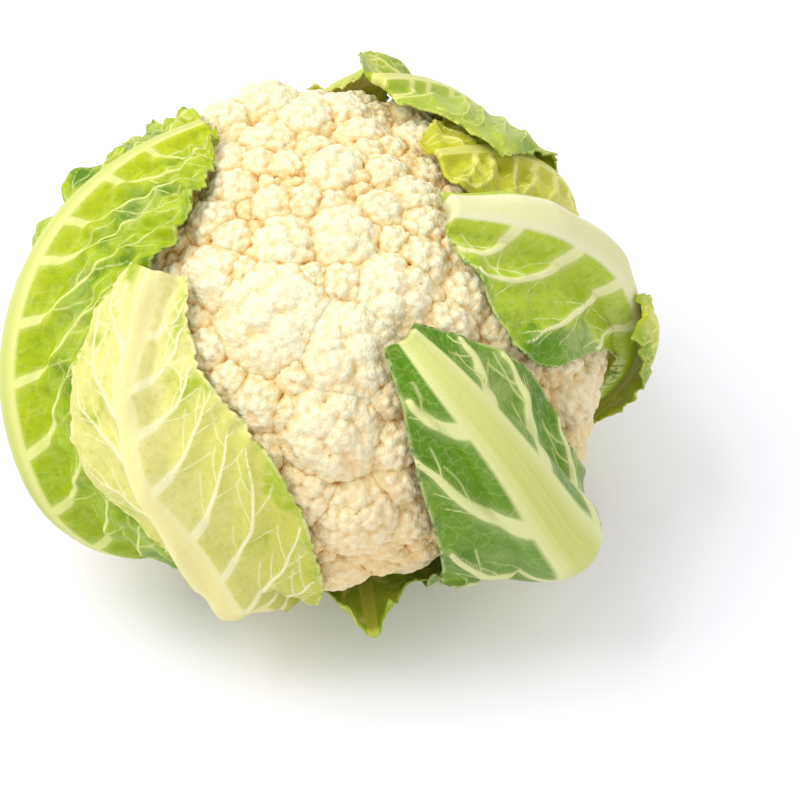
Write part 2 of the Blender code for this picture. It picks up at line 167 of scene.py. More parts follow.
# %% Floret places
SEEN_FLORETS = [
    (-15, 5, 18.5), (-21, -23, 9.5), (5, -33, 16), (11, -7, 16.5), (28, 13, 15),
    (-12, 31, 11.5), (10, 34, 12.5), (6, 59, 12.5), (-15, 46, 7.5), (-5, 47, 7),
    (22, 44, 8), (23, 58, 8), (-11, 60, 7), (-21, 61, 7), (-31, 52, 9),
    (-37, 41, 9), (-29, 34, 7), (-36, 20, 11.5), (-24, 22, 6), (-19, 70, 10),
    (-20, 82, 11), (-4, 77, 9), (7, 79, 9), (-34, 76, 9), (15, 73, 9),
    (26, 33, 6), (-2, 20, 6), (9, 18, 7.5), (34, 48, 10), (37, 39, 9),
    (36, 26, 10), (-38, -4, 8), (-29, -15, 7), (-19, -37, 8), (-3, -51, 11),
    (13, -58, 13), (26, -36, 8), (27, -46, 8), (30, -59, 9), (22, -76, 14),
    (80, -5, 9), (84, -17, 10), (84, -36, 8), (64, 3, 10), (-68, 1, 9),
    (52, 15, 10), (44, 3, 10), (48, 30, 8), (50, -14, 11), (62, -28, 11),
]
PROUD_FLORETS = {20: 5, 21: 3, 22: 3, 23: 4, 35: 2, 39: 7, 40: 3, 41: 5, 42: 8}
FILL_TRIES = 150
FILL_SIZES = (8.0, 15.0)
FILL_CROWDING = 0.72
FILL_FROM = -0.5
BUD_TRIES = 1500
BUDS = ((6.8, 0.72, 1.0), (4.8, 0.7, 1.8))
SEED = 11
LARGEST_FLORET = 18.0
SMALL_SINK = 0.1
WELL_OUTSIDE = 150.0
SEARCH_STEPS = 40


def seen_direction(right_of, above):
    """The direction to the shell's point that the camera sees so far right of and above the centre."""
    half = math.sqrt(0.5)

    def at(depth):
        return np.array([right_of, (above - depth) * half, (above + depth) * half])

    near, far = 0.0, WELL_OUTSIDE
    for _ in range(SEARCH_STEPS):
        middle = (near + far) / 2
        distance = np.linalg.norm(at(middle))
        inside = distance < shell_radius(at(middle) / distance)
        near, far = (middle, far) if inside else (near, middle)
    return normalised(at(near))


def floret_places():
    """Direction, radius and rise of each floret."""
    ways = [seen_direction(a, b) for a, b, _ in SEEN_FLORETS]
    sizes = [size for _, _, size in SEEN_FLORETS]
    rises = [PROUD_FLORETS.get(k, 0) for k in range(len(SEEN_FLORETS))]
    rng = np.random.default_rng(SEED)
    for d in spiral_directions(FILL_TRIES):
        size = rng.uniform(*FILL_SIZES)
        gaps = np.arccos(np.clip(np.array(ways) @ d, -1, 1)) * shell_radius(d)
        if d[2] > FILL_FROM and (gaps > FILL_CROWDING * (np.array(sizes) + size)).all():
            ways.append(d)
            sizes.append(size)
            rises.append(0)
    for bud, crowding, sink in BUDS:
        for d in spiral_directions(BUD_TRIES):
            gaps = np.arccos(np.clip(np.array(ways) @ d, -1, 1)) * shell_radius(d)
            if d[2] > FILL_FROM and (gaps > crowding * (np.array(sizes) + bud)).all():
                ways.append(d)
                sizes.append(bud)
                rises.append(-sink)
    return np.array(ways), np.array(sizes), np.array(rises, float)


floret_way, floret_size, floret_rise = floret_places()
print(len(floret_size), "florets,", round(floret_size.min(), 1), "to", floret_size.max(), "mm in radius")

# %% [markdown]
# ## Florets as balls
# Each floret is a separate closed ball whose top touches the shell, pressed into its neighbours
# as on the plant. Separate balls overhang a little, so the creases between them are as deep and
# dark as the real ones, which a single wrapped skin can't give. The core and the reach that the
# leaves settle on are cut flat below, but the balls aren't, so low ones hang past that floor.

# %% Floret balls
BALL_SHARE = 1.3
LOBE_STANDS = 1.0
CORE_SINK = 6.5
CURD_FLOOR = 38.0
LEAST_SLOPE = 0.05

ball_top = shell_radius(floret_way) - (LARGEST_FLORET - floret_size) * SMALL_SINK + floret_rise
ball_radius = floret_size * BALL_SHARE - LOBE_STANDS
ball_centre = floret_way * (ball_top - LOBE_STANDS - ball_radius)[:, None]


def core_radius(d):
    """The smooth flesh that the florets stand out of, cut off flat below."""
    return np.minimum(shell_radius(d) - CORE_SINK, CURD_FLOOR / np.maximum(-d[..., 2], LEAST_SLOPE))


def curd_reach(d):
    """How far out the curd reaches along each direction."""
    ahead = d @ ball_centre.T
    room = (ball_radius + LOBE_STANDS) ** 2 - (ball_centre**2).sum(1) + ahead**2
    hit = np.where(room > 0, ahead + np.sqrt(np.maximum(room, 0)), 0)
    balls = np.minimum(hit.max(axis=-1), CURD_FLOOR / np.maximum(-d[..., 2], LEAST_SLOPE))
    return np.maximum(balls, core_radius(d))


curd_top = float(curd_reach(np.array([[0, 0, 1.0]]))[0]) + HEAD_HEIGHT
print("curd reaches", round(curd_top), "mm above the floor")

# %% [markdown]
# ## A small kit for node trees
# Both the shapes and the materials are node trees. One class wraps a socket so that sums are
# written as Python, and one method adds any other node from its type, settings and inputs.

# %% Node kit
LIGHT_LEVEL = 1.18
MIX_FIRST, MIX_SECOND, MIX_RESULT = 6, 7, 2


class Socket:
    """A node's output that can stand in a Python sum."""

    def __init__(self, tree, socket):
        self.tree, self.socket = tree, socket

    def math(self, operation, *values):
        return self.tree.add("ShaderNodeMath", {"operation": operation}, dict(enumerate(values)))

    def __add__(self, other):
        return self.math("ADD", self, other)

    def __sub__(self, other):
        return self.math("SUBTRACT", self, other)

    def __rsub__(self, other):
        return self.math("SUBTRACT", other, self)

    def __mul__(self, other):
        return self.math("MULTIPLY", self, other)

    def __truediv__(self, other):
        return self.math("DIVIDE", self, other)

    def __rtruediv__(self, other):
        return self.math("DIVIDE", other, self)

    __radd__, __rmul__ = __add__, __mul__

    def root(self):
        return self.math("SQRT", self)

    def at_least(self, other):
        return self.math("MAXIMUM", self, other)

    def at_most(self, other):
        return self.math("MINIMUM", self, other)

    def scaled(self, vector):
        """This number times a vector."""
        inputs = {0: vector, "Scale": self}
        return self.tree.add("ShaderNodeVectorMath", {"operation": "SCALE"}, inputs)

    def eased(self, low, high, start=0.0, end=1.0):
        """start up to low, end from high, and a smooth step between."""
        inputs = {"Value": self, "From Min": low, "From Max": high, "To Min": start, "To Max": end}
        return self.tree.add("ShaderNodeMapRange", {"interpolation_type": "SMOOTHSTEP"}, inputs)


class Tree:
    """A node tree of a material or of a modifier."""

    def __init__(self, nodes_and_links):
        self.nodes, self.links = nodes_and_links.nodes, nodes_and_links.links

    def plug(self, target, value):
        if isinstance(value, Socket):
            self.links.new(value.socket, target)
        else:
            target.default_value = value

    def add(self, kind, settings=None, inputs=None, output=0):
        """A node of this type; its settings come before its inputs, and it gives back one output."""
        node = self.nodes.new(kind)
        for name, value in (settings or {}).items():
            if name == "stops":
                self.set_stops(node.color_ramp, value)
            else:
                setattr(node, name, value)
        for name, value in (inputs or {}).items():
            self.plug(node.inputs[name], value)
        return Socket(self, node.outputs[output])

    def set_stops(self, color_ramp, stops):
        while len(color_ramp.elements) < len(stops):
            color_ramp.elements.new(1.0)
        for element, (position, colour) in zip(color_ramp.elements, stops):
            element.position = position
            element.color = colour

    def noise(self, place, scale, detail=2.0, roughness=0.5):
        """A noise texture's value, with so many waves to the metre."""
        inputs = {"Vector": place, "Scale": scale, "Detail": detail, "Roughness": roughness}
        return self.add("ShaderNodeTexNoise", inputs=inputs)

    def mix(self, share, first, second):
        """A colour between two others."""
        node = self.nodes.new("ShaderNodeMix")
        node.data_type = "RGBA"
        self.plug(node.inputs["Factor"], share)
        self.plug(node.inputs[MIX_FIRST], first)
        self.plug(node.inputs[MIX_SECOND], second)
        return Socket(self, node.outputs[MIX_RESULT])


def shape_tree(name, inputs):
    """A Geometry Nodes tree with these named inputs: the tree, and its inputs as sockets."""
    group = bpy.data.node_groups.new(name, "GeometryNodeTree")
    for label, kind in inputs.items():
        group.interface.new_socket(label, in_out="INPUT", socket_type="NodeSocket" + kind)
    group.interface.new_socket("Geometry", in_out="OUTPUT", socket_type="NodeSocketGeometry")
    tree = Tree(group)
    start = group.nodes.new("NodeGroupInput")
    return group, tree, {label: Socket(tree, start.outputs[label]) for label in inputs}


def end_tree(tree, geometry, material):
    """Ends a shape tree: no instances are left, and every face has the material."""
    whole = tree.add("GeometryNodeRealizeInstances", inputs={"Geometry": geometry})
    inputs = {"Geometry": whole, "Material": material}
    painted = tree.add("GeometryNodeSetMaterial", inputs=inputs)
    end = tree.nodes.new("NodeGroupOutput")
    tree.plug(end.inputs["Geometry"], painted)


def grown(source, group, values, name):
    """Runs a shape tree on an object and gives back its result as a plain mesh object."""
    modifier = source.modifiers.new(name, "NODES")
    modifier.node_group = group
    for item in group.interface.items_tree:
        if item.in_out == "INPUT" and item.name in values:
            modifier[item.identifier] = values[item.name]
    graph = bpy.context.evaluated_depsgraph_get()
    mesh = bpy.data.meshes.new_from_object(source.evaluated_get(graph), depsgraph=graph)
    mesh.name = name
    bpy.data.objects.remove(source)
    return added(name, mesh)


def set_attribute(mesh, name, values, kind="FLOAT", field="value"):
    """Stores one value per vertex."""
    attribute = mesh.attributes.new(name, kind, "POINT")
    attribute.data.foreach_set(field, np.asarray(values, np.float32).ravel())


def colour(red, green, blue):
    """A screen colour, 0 to 255 a channel, as the linear colour that nodes use."""
    channels = np.array([red, green, blue]) / 255
    linear = np.where(channels > 0.04, ((channels + 0.055) / 1.055) ** 2.4, channels / 12.92)
    return (*(linear / LIGHT_LEVEL), 1.0)


def new_material(name):
    """A material with an empty surface: the material, its tree and its surface node."""
    material = bpy.data.materials.new(name)
    material.use_nodes = True
    tree = Tree(material.node_tree)
    return material, tree, material.node_tree.nodes["Principled BSDF"]


print("node kit ready")

# %% [markdown]
# ## The curd's finish
# Real curd is off-white, and its colour here carries painted shade: open tops stay off-white, the creases
# get painted orange shade, where light has gone through the flesh several times, and the lower head a
# painted tan shade. An attribute that each floret vertex carries says how open its place is, and a ramp
# turns it into this painted shade. Grains of about a millimetre, finer than the mesh, are a bump. A little
# subsurface light softens it all, as in any pale plant flesh.

# %% Curd material
GRAIN = 1.1
GRAIN_DEPTH = 0.5
# Painted shade: from the dark orange of the deepest creases up to the off-white of open tops.
CURD_SHADE_STOPS = [
    (0.0, colour(190, 116, 44)),
    (0.14, colour(236, 180, 104)),
    (0.32, colour(252, 216, 148)),
    (0.6, colour(255, 232, 176)),
    (0.9, colour(255, 252, 216)),
]
# Painted shade: the tan that the lower head is mixed towards.
CURD_LOW_SHADE = colour(250, 218, 150)
SPECK_STEP = 11.0
SPECK_SIZE = (0.03, 0.06)
SPECK_SHARE = 0.7
CURD_SPECK = colour(206, 150, 56)
CURD_PATCHES = (90.0, 3.0)
PATCH_SHADE = 0.16
GRAIN_SHADE = 0.22
GRAIN_STRENGTH = 0.65
LOW_SHADE_SHARE = 0.55
DEEP_SHADE_OPENNESS = (0.05, 0.3)
CURD_ROUGHNESS = 0.62
CURD_SPECULAR = 0.3
CURD_SUBSURFACE = 0.25
SUBSURFACE_RADIUS = (1.0, 0.55, 0.25)
SUBSURFACE_SCALE = 0.002


def curd_material():
    material, tree, surface = new_material("curd_flesh")
    place = tree.add("ShaderNodeTexCoord", output="Object")
    openness = tree.add("ShaderNodeAttribute", {"attribute_name": "open"}, output="Fac")
    low = tree.add("ShaderNodeAttribute", {"attribute_name": "low"}, output="Fac")
    cells = {"Vector": place, "Scale": 1 / (GRAIN * MM)}
    grain = tree.add("ShaderNodeTexVoronoi", {"feature": "F1"}, cells)
    specks = tree.add("ShaderNodeTexVoronoi", inputs={"Vector": place, "Scale": 1 / (SPECK_STEP * MM)})
    patches = tree.noise(place, *CURD_PATCHES)
    # Painted shade: the ramp turns creases and deep places orange-brown and leaves open tops off-white.
    level = openness - grain * GRAIN_SHADE + patches * PATCH_SHADE
    tone = tree.add("ShaderNodeValToRGB", {"stops": CURD_SHADE_STOPS}, {"Fac": level})
    # Painted shade: the curd gets darker and tan towards the bottom.
    tan = tree.mix(low * LOW_SHADE_SHARE, tone, CURD_LOW_SHADE)
    # Painted shade: deep creases low on the head take the darkest crease colour.
    deep = tree.mix(openness.eased(*DEEP_SHADE_OPENNESS, 1.0, 0.0) * low, tan, CURD_SHADE_STOPS[0][1])
    speckled = tree.mix(specks.eased(*SPECK_SIZE, SPECK_SHARE, 0.0), deep, CURD_SPECK)
    tree.plug(surface.inputs["Base Color"], speckled)
    surface.inputs["Roughness"].default_value = CURD_ROUGHNESS
    surface.inputs["Specular IOR Level"].default_value = CURD_SPECULAR
    surface.inputs["Subsurface Weight"].default_value = CURD_SUBSURFACE
    surface.inputs["Subsurface Radius"].default_value = SUBSURFACE_RADIUS
    surface.inputs["Subsurface Scale"].default_value = SUBSURFACE_SCALE
    bump = {"Height": 1 - grain, "Strength": GRAIN_STRENGTH, "Distance": GRAIN_DEPTH * MM}
    tree.plug(surface.inputs["Normal"], tree.add("ShaderNodeBump", inputs=bump))
    return material


curd_flesh = curd_material()
print("curd material:", len(curd_flesh.node_tree.nodes), "nodes")

# %% [markdown]
# ## Growing the curd
# A floret is the same shape at three sizes: a ball carries lobes, and each lobe carries nodules.
# So one tree does it. It sets a ball on each floret's point, spreads lobe points over the balls
# by the golden spiral, and pushes every vertex out by its distance to the nearest one, which
# gives round lobes with sharp creases. Then it does the same once more with nodules.

# %% Ball templates
VERTEX_STEPS = (0.76, 1.8)
BUD_STEP = 1.1
GRADES = (5.5, 8.5, 12.5, 19.0)
CAP_LOWEST = 0.3
UNDER_SHARE = 0.1
HEXAGON = math.sqrt(3) / 2


def ball_template(name, radius, step):
    """A unit ball, set close with points on top and thinly below, where it is never seen."""
    count = int(2 * math.pi * radius**2 * (1 - CAP_LOWEST) / (step**2 * HEXAGON))
    cap = spiral_directions(count, 1.0, CAP_LOWEST)
    under = spiral_directions(int(count * UNDER_SHARE), CAP_LOWEST, -1.0)
    mesh = bmesh.new()
    for d in np.concatenate([cap, under]):
        mesh.verts.new(d)
    bmesh.ops.convex_hull(mesh, input=mesh.verts)
    bmesh.ops.recalc_face_normals(mesh, faces=mesh.faces)
    data = bpy.data.meshes.new(name)
    mesh.to_mesh(data)
    mesh.free()
    data.shade_smooth()
    return bpy.data.objects.new(name, data)


templates = bpy.data.collections.new("ball_templates")
for fineness, step in enumerate(VERTEX_STEPS):
    for grade, radius in enumerate(GRADES):
        closeness = max(step, BUD_STEP) if grade == 0 else step
        templates.objects.link(ball_template(f"ball_{fineness}_{grade}", radius, closeness))

# %% The tree that grows the florets
LOBES = 56
LOBE_FILL = 0.66
LOBE_BULGE = 0.6
LOBE_FLOOR = 0.45
NODULE_STEP = 2.6
NODULE_FILL = 0.68
NODULE_BULGE = 0.44
NODULE_CROWD = 5.0


def named(tree, name, kind="FLOAT"):
    """A stored attribute, read by name."""
    return tree.add("GeometryNodeInputNamedAttribute", {"data_type": kind}, {"Name": name})


def spiral_points(tree, count):
    """Points on a unit ball along a golden spiral round X, as plain node maths on their index."""
    index = tree.add("GeometryNodeInputIndex")
    height = 1 - 2 * (index + 0.5) / count
    ring = (1 - height * height).root()
    angle = index * GOLDEN_ANGLE
    x = ring * angle.math("COSINE", angle)
    y = ring * angle.math("SINE", angle)
    position = tree.add("ShaderNodeCombineXYZ", inputs={"X": height, "Y": x, "Z": y})
    return tree.add("GeometryNodePoints", inputs={"Count": count, "Position": position})


def bulged(tree, geometry, near, reach, bulge, floor, label):
    """Pushes a surface out into a round dome over each of the near points."""
    distance = tree.add("GeometryNodeProximity", {"target_element": "POINTS"}, {0: near}, output="Distance")
    dome = (reach * reach - distance * distance).at_least(0).root() - reach * floor
    offset = (dome * bulge).scaled(tree.add("GeometryNodeInputNormal"))
    kept = {"Geometry": geometry, "Name": label, "Value": (distance / reach).at_most(1)}
    stored = tree.add("GeometryNodeStoreNamedAttribute", {"data_type": "FLOAT"}, kept)
    return tree.add("GeometryNodeSetPosition", inputs={"Geometry": stored, "Offset": offset})


def floret_tree():
    group, tree, given = shape_tree("florets", {
        "Geometry": "Geometry", "Balls": "Collection", "Lobe count": "Int", "Lobe bulge": "Float",
        "Nodule step": "Float", "Nodule bulge": "Float", "Seed": "Int", "Material": "Material"})
    ball, turn = named(tree, "ball"), named(tree, "turn", "QUATERNION")
    flags = {"Collection": given["Balls"], "Separate Children": True, "Reset Children": True}
    balls = tree.add("GeometryNodeCollectionInfo", inputs=flags)
    setting = {"Points": given["Geometry"], "Instance": balls, "Pick Instance": True,
               "Instance Index": named(tree, "grade", "INT"), "Rotation": turn, "Scale": ball}
    heads = tree.add("GeometryNodeInstanceOnPoints", inputs=setting)
    heads = tree.add("GeometryNodeRealizeInstances", inputs={"Geometry": heads})
    spots = {"Points": given["Geometry"], "Instance": spiral_points(tree, given["Lobe count"]),
             "Rotation": turn, "Scale": ball}
    lobes = tree.add("GeometryNodeInstanceOnPoints", inputs=spots)
    lobes = tree.add("GeometryNodeRealizeInstances", inputs={"Geometry": lobes})
    spacing = ball * (4 * math.pi / given["Lobe count"].at_least(1)).root()
    knobbly = named(tree, "knobbly")
    heads = bulged(tree, heads, lobes, spacing * LOBE_FILL, given["Lobe bulge"] * knobbly, LOBE_FLOOR, "lobe")
    step = given["Nodule step"]
    scatter = {"Mesh": heads, "Distance Min": step, "Density Max": NODULE_CROWD / (step * step),
               "Seed": given["Seed"]}
    nodules = tree.add("GeometryNodeDistributePointsOnFaces", {"distribute_method": "POISSON"}, scatter)
    bulge = given["Nodule bulge"] * (knobbly * 0.5 + 0.5)
    heads = bulged(tree, heads, nodules, step * NODULE_FILL, bulge, LOBE_FLOOR, "nodule")
    end_tree(tree, heads, given["Material"])
    return group


florets = floret_tree()
print("floret tree:", len(florets.nodes), "nodes")

# %% [markdown]
# ## The curd in five pieces
# The exporter thins a piece of more than 200,000 triangles, so the florets are shared out by
# the way that they face, into five sectors of 72 degrees. Balls that the leaves wrap are
# coarser, as little of them shows. Each vertex then gets the values that the material reads.

# %% Florets in five pieces
KNOBBLY_FROM = (-0.5, 0.25)
KNOBBLY_LEAST = 0.35
SECTORS = {"florets_front": -90, "florets_right": -18, "florets_back_right": 54,
           "florets_back_left": 126, "florets_left": 198}
SECTOR_HALF = 36
# Painted shade: these darken the gaps between florets, the edges of lobes and nodules, and places deep below
# the shell.
OPEN_GAP = 2.0
OPEN_DEPTH = 16.0
OPEN_LEAST = 0.12
OPEN_TOUCH = -0.9
LOBE_SHADE = 0.42
NODULE_SHADE = 0.22
DEPTH_SHADE = 0.5
LOW_SHADE_FROM = (-0.2, 0.85)
FRONT_AZIMUTH = -62.0
FRONT_SPREAD = 75.0
WRAPPED_BELOW = 16.0
HIDDEN_BELOW = -48.0


def turned(way, spin):
    """The turn that stands a template ball along a direction, with its own spin."""
    turn = Vector(way).to_track_quat("Z", "Y")
    return turn @ Quaternion((0, 0, 1), spin)


def floret_points(name, chosen):
    """A mesh of one vertex for each chosen floret, with its size, turn and template."""
    mesh = bpy.data.meshes.new(name)
    mesh.from_pydata(placed(ball_centre[chosen]).tolist(), [], [])
    turns = [turned(floret_way[k], k * GOLDEN_ANGLE) for k in chosen]
    grade = np.searchsorted(GRADES, floret_size[chosen]).clip(0, len(GRADES) - 1)
    grade = grade + len(GRADES) * wrapped[chosen]
    knobbly = KNOBBLY_LEAST + (1 - KNOBBLY_LEAST) * ramp(floret_way[chosen][:, 2], *KNOBBLY_FROM)
    set_attribute(mesh, "ball", ball_radius[chosen] * MM)
    set_attribute(mesh, "knobbly", knobbly)
    set_attribute(mesh, "turn", [list(q) for q in turns], "QUATERNION")
    mesh.attributes.new("grade", "INT", "POINT").data.foreach_set("value", grade.astype(np.int32))
    mesh.attributes.new("floret", "INT", "POINT").data.foreach_set("value", np.array(chosen, np.int32))
    return added(name + "_points", mesh)


def read_vertices(mesh, name=None, kind=np.float32):
    """The vertices' places, or one of their attributes."""
    count = len(mesh.vertices)
    if name is None:
        values = np.zeros(count * 3, np.float32)
        mesh.vertices.foreach_get("co", values)
        return values.reshape(-1, 3)
    values = np.zeros(count, kind)
    mesh.attributes[name].data.foreach_get("value", values)
    return values


def store_openness(mesh):
    """Paints shade into each vertex: how open its place is, 0 in a crease and 1 on top of a lobe, and how low
    it lies on the head.
    """
    points = read_vertices(mesh) / MM - np.array([0, 0, HEAD_HEIGHT])
    own = read_vertices(mesh, "floret", np.int32)
    gaps = np.full(len(points), OPEN_GAP)
    for k, (centre, radius) in enumerate(zip(ball_centre, ball_radius)):
        gap = np.linalg.norm(points - centre, axis=1) - radius - LOBE_STANDS / 2
        gaps = np.where(own != k, np.minimum(gaps, gap), gaps)
    distance = np.linalg.norm(points, axis=1)
    way = points / distance[:, None]
    deep = ramp(shell_radius(way) + 2 - distance, 0, OPEN_DEPTH)
    between = OPEN_LEAST + (1 - OPEN_LEAST) * ramp(gaps, OPEN_TOUCH, OPEN_GAP)
    lobe = 1 - LOBE_SHADE * read_vertices(mesh, "lobe") ** 5
    nodule = 1 - NODULE_SHADE * read_vertices(mesh, "nodule") ** 4
    # Painted shade in the creases, read by the curd material.
    set_attribute(mesh, "open", between * lobe * nodule * (1 - DEPTH_SHADE * deep))
    # Painted shade towards the bottom of the head: 1 low down, 0 near the top.
    set_attribute(mesh, "low", 1 - ramp(way[:, 2], *LOW_SHADE_FROM))


def count_triangles(piece):
    return sum(len(face.vertices) - 2 for face in piece.data.polygons)


floret_azimuth = np.degrees(np.arctan2(floret_way[:, 1], floret_way[:, 0]))
floret_elevation = np.degrees(np.arcsin(floret_way[:, 2]))
in_front = np.abs((floret_azimuth - FRONT_AZIMUTH + 180) % 360 - 180) < FRONT_SPREAD
wrapped = ((floret_elevation < WRAPPED_BELOW) & ~in_front) | (floret_elevation < HIDDEN_BELOW)
curd_pieces = []
for name, azimuth in SECTORS.items():
    off = (floret_azimuth - azimuth + 180) % 360 - 180
    chosen = np.flatnonzero((off >= -SECTOR_HALF) & (off < SECTOR_HALF))
    values = {"Balls": templates, "Lobe count": LOBES, "Lobe bulge": LOBE_BULGE,
              "Nodule step": NODULE_STEP * MM, "Nodule bulge": NODULE_BULGE, "Seed": SEED,
              "Material": curd_flesh}
    piece = grown(floret_points(name, chosen), florets, values, name)
    store_openness(piece.data)
    curd_pieces.append(piece)
    print(name, len(chosen), "florets,", count_triangles(piece), "triangles")

# %% [markdown]
# ## The core
# Behind the balls lies one smooth body of flesh. It keeps deep creases from showing a hole. Its colour is
# painted shade, as dark as a crease low on the head.

# %% Core
CORE_POINTS = 5000
CORE_SHADE_OPENNESS = 0.2


def make_core():
    """The flesh behind the florets, a closed body that shows in deep creases and under the head."""
    directions = spiral_directions(CORE_POINTS)
    mesh = bmesh.new()
    for d in directions:
        mesh.verts.new(d)
    bmesh.ops.convex_hull(mesh, input=mesh.verts)
    bmesh.ops.recalc_face_normals(mesh, faces=mesh.faces)
    for vertex, place in zip(mesh.verts, placed(directions * core_radius(directions)[:, None])):
        vertex.co = place
    data = bpy.data.meshes.new("curd_core")
    mesh.to_mesh(data)
    mesh.free()
    data.shade_smooth()
    data.materials.append(curd_flesh)
    # Painted shade: the whole core is coloured as a shaded crease low on the head.
    set_attribute(data, "open", np.full(len(data.vertices), CORE_SHADE_OPENNESS))
    set_attribute(data, "low", np.ones(len(data.vertices)))
    return added("curd_core", data)


curd_pieces.append(make_core())
bpy.data.collections.remove(templates)
print("core:", count_triangles(curd_pieces[-1]), "triangles")

# %% [markdown]
# ## How a leaf lies
# A leaf is given by the line of its rib over the head, from the foot on the stem to the tip, and
# by its half widths, its height over the shell and the rib's own width and height at even
# stations on that line. Leaves are laid one after another, innermost first, and each settles on
# whatever lies below it, as they do on the plant. This keeps them apart nearly everywhere.

# %% What has been laid
BLADE = 1.5
LEAST_BLADE = 1.2
SWEEP = 0.22
SWEEP_FROM = (0.1, 0.4)
HUG = 0.7
HUG_FROM = (0.1, 0.35)
CURL_FROM = (0.35, 0.85)
AHEAD = 0.01
ASKEW = (0.3, 0.2, 1.0)
LAY_GAP = 1.2
LAY_ROWS = 97
LAY_COLUMNS = 57
LAY_SPREAD = (0.8, 4.8)
SPREAD_FROM = (0.08, 0.35)
SPREAD_TURNS = 12
SMOOTH_PASSES = 10
CLOSE_SHARE = 0.75


class Laid:
    """How far out the curd and the leaves laid so far reach, in cells of two degrees."""

    CELL = 2.0

    def __init__(self):
        elevation = np.arange(-90, 90 + self.CELL, self.CELL)
        azimuth = np.arange(0, 360, self.CELL)
        self.reach = curd_reach(np.array([[unit(a, e) for a in azimuth] for e in elevation]))

    def cells(self, d):
        elevation = np.degrees(np.arcsin(np.clip(d[..., 2], -1, 1)))
        azimuth = np.degrees(np.arctan2(d[..., 1], d[..., 0])) % 360
        row = np.rint((elevation + 90) / self.CELL).astype(int)
        return row, np.rint(azimuth / self.CELL).astype(int) % self.reach.shape[1]

    def add(self, d, radius):
        row, column = self.cells(d)
        np.maximum.at(self.reach, (row.ravel(), column.ravel()), radius.ravel())

    def under(self, d, spread):
        """The furthest reach within spread degrees of each direction."""
        side = normalised(np.cross(d, ASKEW))
        other = np.cross(d, side)
        found = self.reach[self.cells(d)]
        for share in (0.5, 1.0):
            for turn in np.arange(SPREAD_TURNS) * 2 * math.pi / SPREAD_TURNS:
                step = np.tan(np.radians(spread * share))[..., None]
                beside = d + step * (math.cos(turn) * side + math.sin(turn) * other)
                found = np.maximum(found, self.reach[self.cells(normalised(beside))])
        return found


laid = Laid()
print("curd reaches", round(float(laid.reach.max())), "mm from the head's centre")

# %% [markdown]
# ## Veins and the blade's own relief
# Lateral veins leave the rib every centimetre or two, bend towards the tip and thin out before
# the margin, and smaller ones branch off them. On a leaf's outer face they stand up, and the
# blade between them is drawn in. The vein lines are worked out first, as they shape both the
# blade and its colour. The thin ones become half-sunk tubes afterwards.

# %% Vein lines
VEIN_POINTS = 18
VEIN_LEAN = (0.5, 1.0)
VEIN_END = 0.93
VEIN_WIGGLE = 1.1
VEIN_FLARE = 1.3
VEIN_FLARES = 0.25
VEIN_FIRST = (0.12, 0.18)
VEIN_LAST = 0.93
VEIN_ROOT = 0.75
WIDE_BLADE = 22.0
VEIN_ROOM = 5.0
BRANCH_AT = (0.2, 0.36, 0.5, 0.63, 0.75, 0.86)
BRANCH_POINTS = 8
BRANCH_WIDTH = (0.55, 0.12)
BRANCH_REACH = 0.62
BRANCH_LONGEST_STEP = 18
BRANCH_SHARE = 0.6
BRANCH_SHIFT = 0.04
BRANCH_FEWEST = 3
BRANCH_BEFORE_TIP = 0.99
FAR_OFF = 20.0


def wiggle(rng, t, size):
    """A gentle wave along a line, still at its start."""
    first, second = rng.uniform(0, 2 * math.pi, 2)
    wave = np.sin(2 * math.pi * t * 1.3 + first) - math.sin(first)
    return size * t * (wave + 0.5 * np.sin(2 * math.pi * t * 2.9 + second))


def lateral_line(rng, leaf, side, start):
    """One lateral vein, as points across and along the leaf in millimetres, with widths."""
    t = np.linspace(0, 1, VEIN_POINTS)
    lean = rng.uniform(*VEIN_LEAN)
    wide = leaf.half_width(start, side)
    along = start * leaf.length + lean * wide * t**1.35 + wiggle(rng, t, VEIN_WIGGLE)
    u = np.minimum(along / leaf.length, 1)
    edge = leaf.half_width(u, side)
    rib = smooth(leaf.rib, u)
    start_off = rib * VEIN_ROOT
    across = side * (start_off + (edge * VEIN_END - start_off) * t + wiggle(rng, t, VEIN_WIGGLE / 2))
    thick, thin = leaf.vein
    width = thin + (thick - thin) * (1 - t) ** 1.1 * min(1, wide / WIDE_BLADE)
    width = width + VEIN_FLARE * (1 - ramp(t, 0, VEIN_FLARES)) ** 2
    return np.stack([across, along], axis=1), width


def branch_line(rng, leaf, line, width, at, turn):
    """A thin vein that leaves another one at a share of its length, turning to one side."""
    k = int(at * (len(line) - 1))
    ahead = line[k + 1] - line[k]
    ahead = ahead / np.linalg.norm(ahead)
    beside = np.array([-ahead[1], ahead[0]]) * turn
    t = np.linspace(0, 1, BRANCH_POINTS)[:, None]
    reach = min(leaf.vein_step, BRANCH_LONGEST_STEP) * BRANCH_REACH * rng.uniform(0.7, 1.25)
    heading = ahead * (0.75 * t + 0.35 * t**2) + beside * (0.85 * t - 0.2 * t**2)
    points = line[k] + reach * heading + wiggle(rng, t, 0.5) * ahead
    u = points[:, 1] / leaf.length
    edge = leaf.half_width(np.clip(u, 0, 1), np.sign(line[-1, 0]))
    inside = (np.abs(points[:, 0]) < edge * VEIN_END) & (u < BRANCH_BEFORE_TIP)
    inside &= np.abs(points[:, 0]) > smooth(leaf.rib, np.clip(u, 0, 1))
    last = len(points) if inside.all() else int(np.argmin(inside))
    start_width = min(BRANCH_WIDTH[0], width[k] * BRANCH_SHARE)
    widths = BRANCH_WIDTH[1] + (start_width - BRANCH_WIDTH[1]) * (1 - t[:, 0])
    return points[:last], widths[:last]


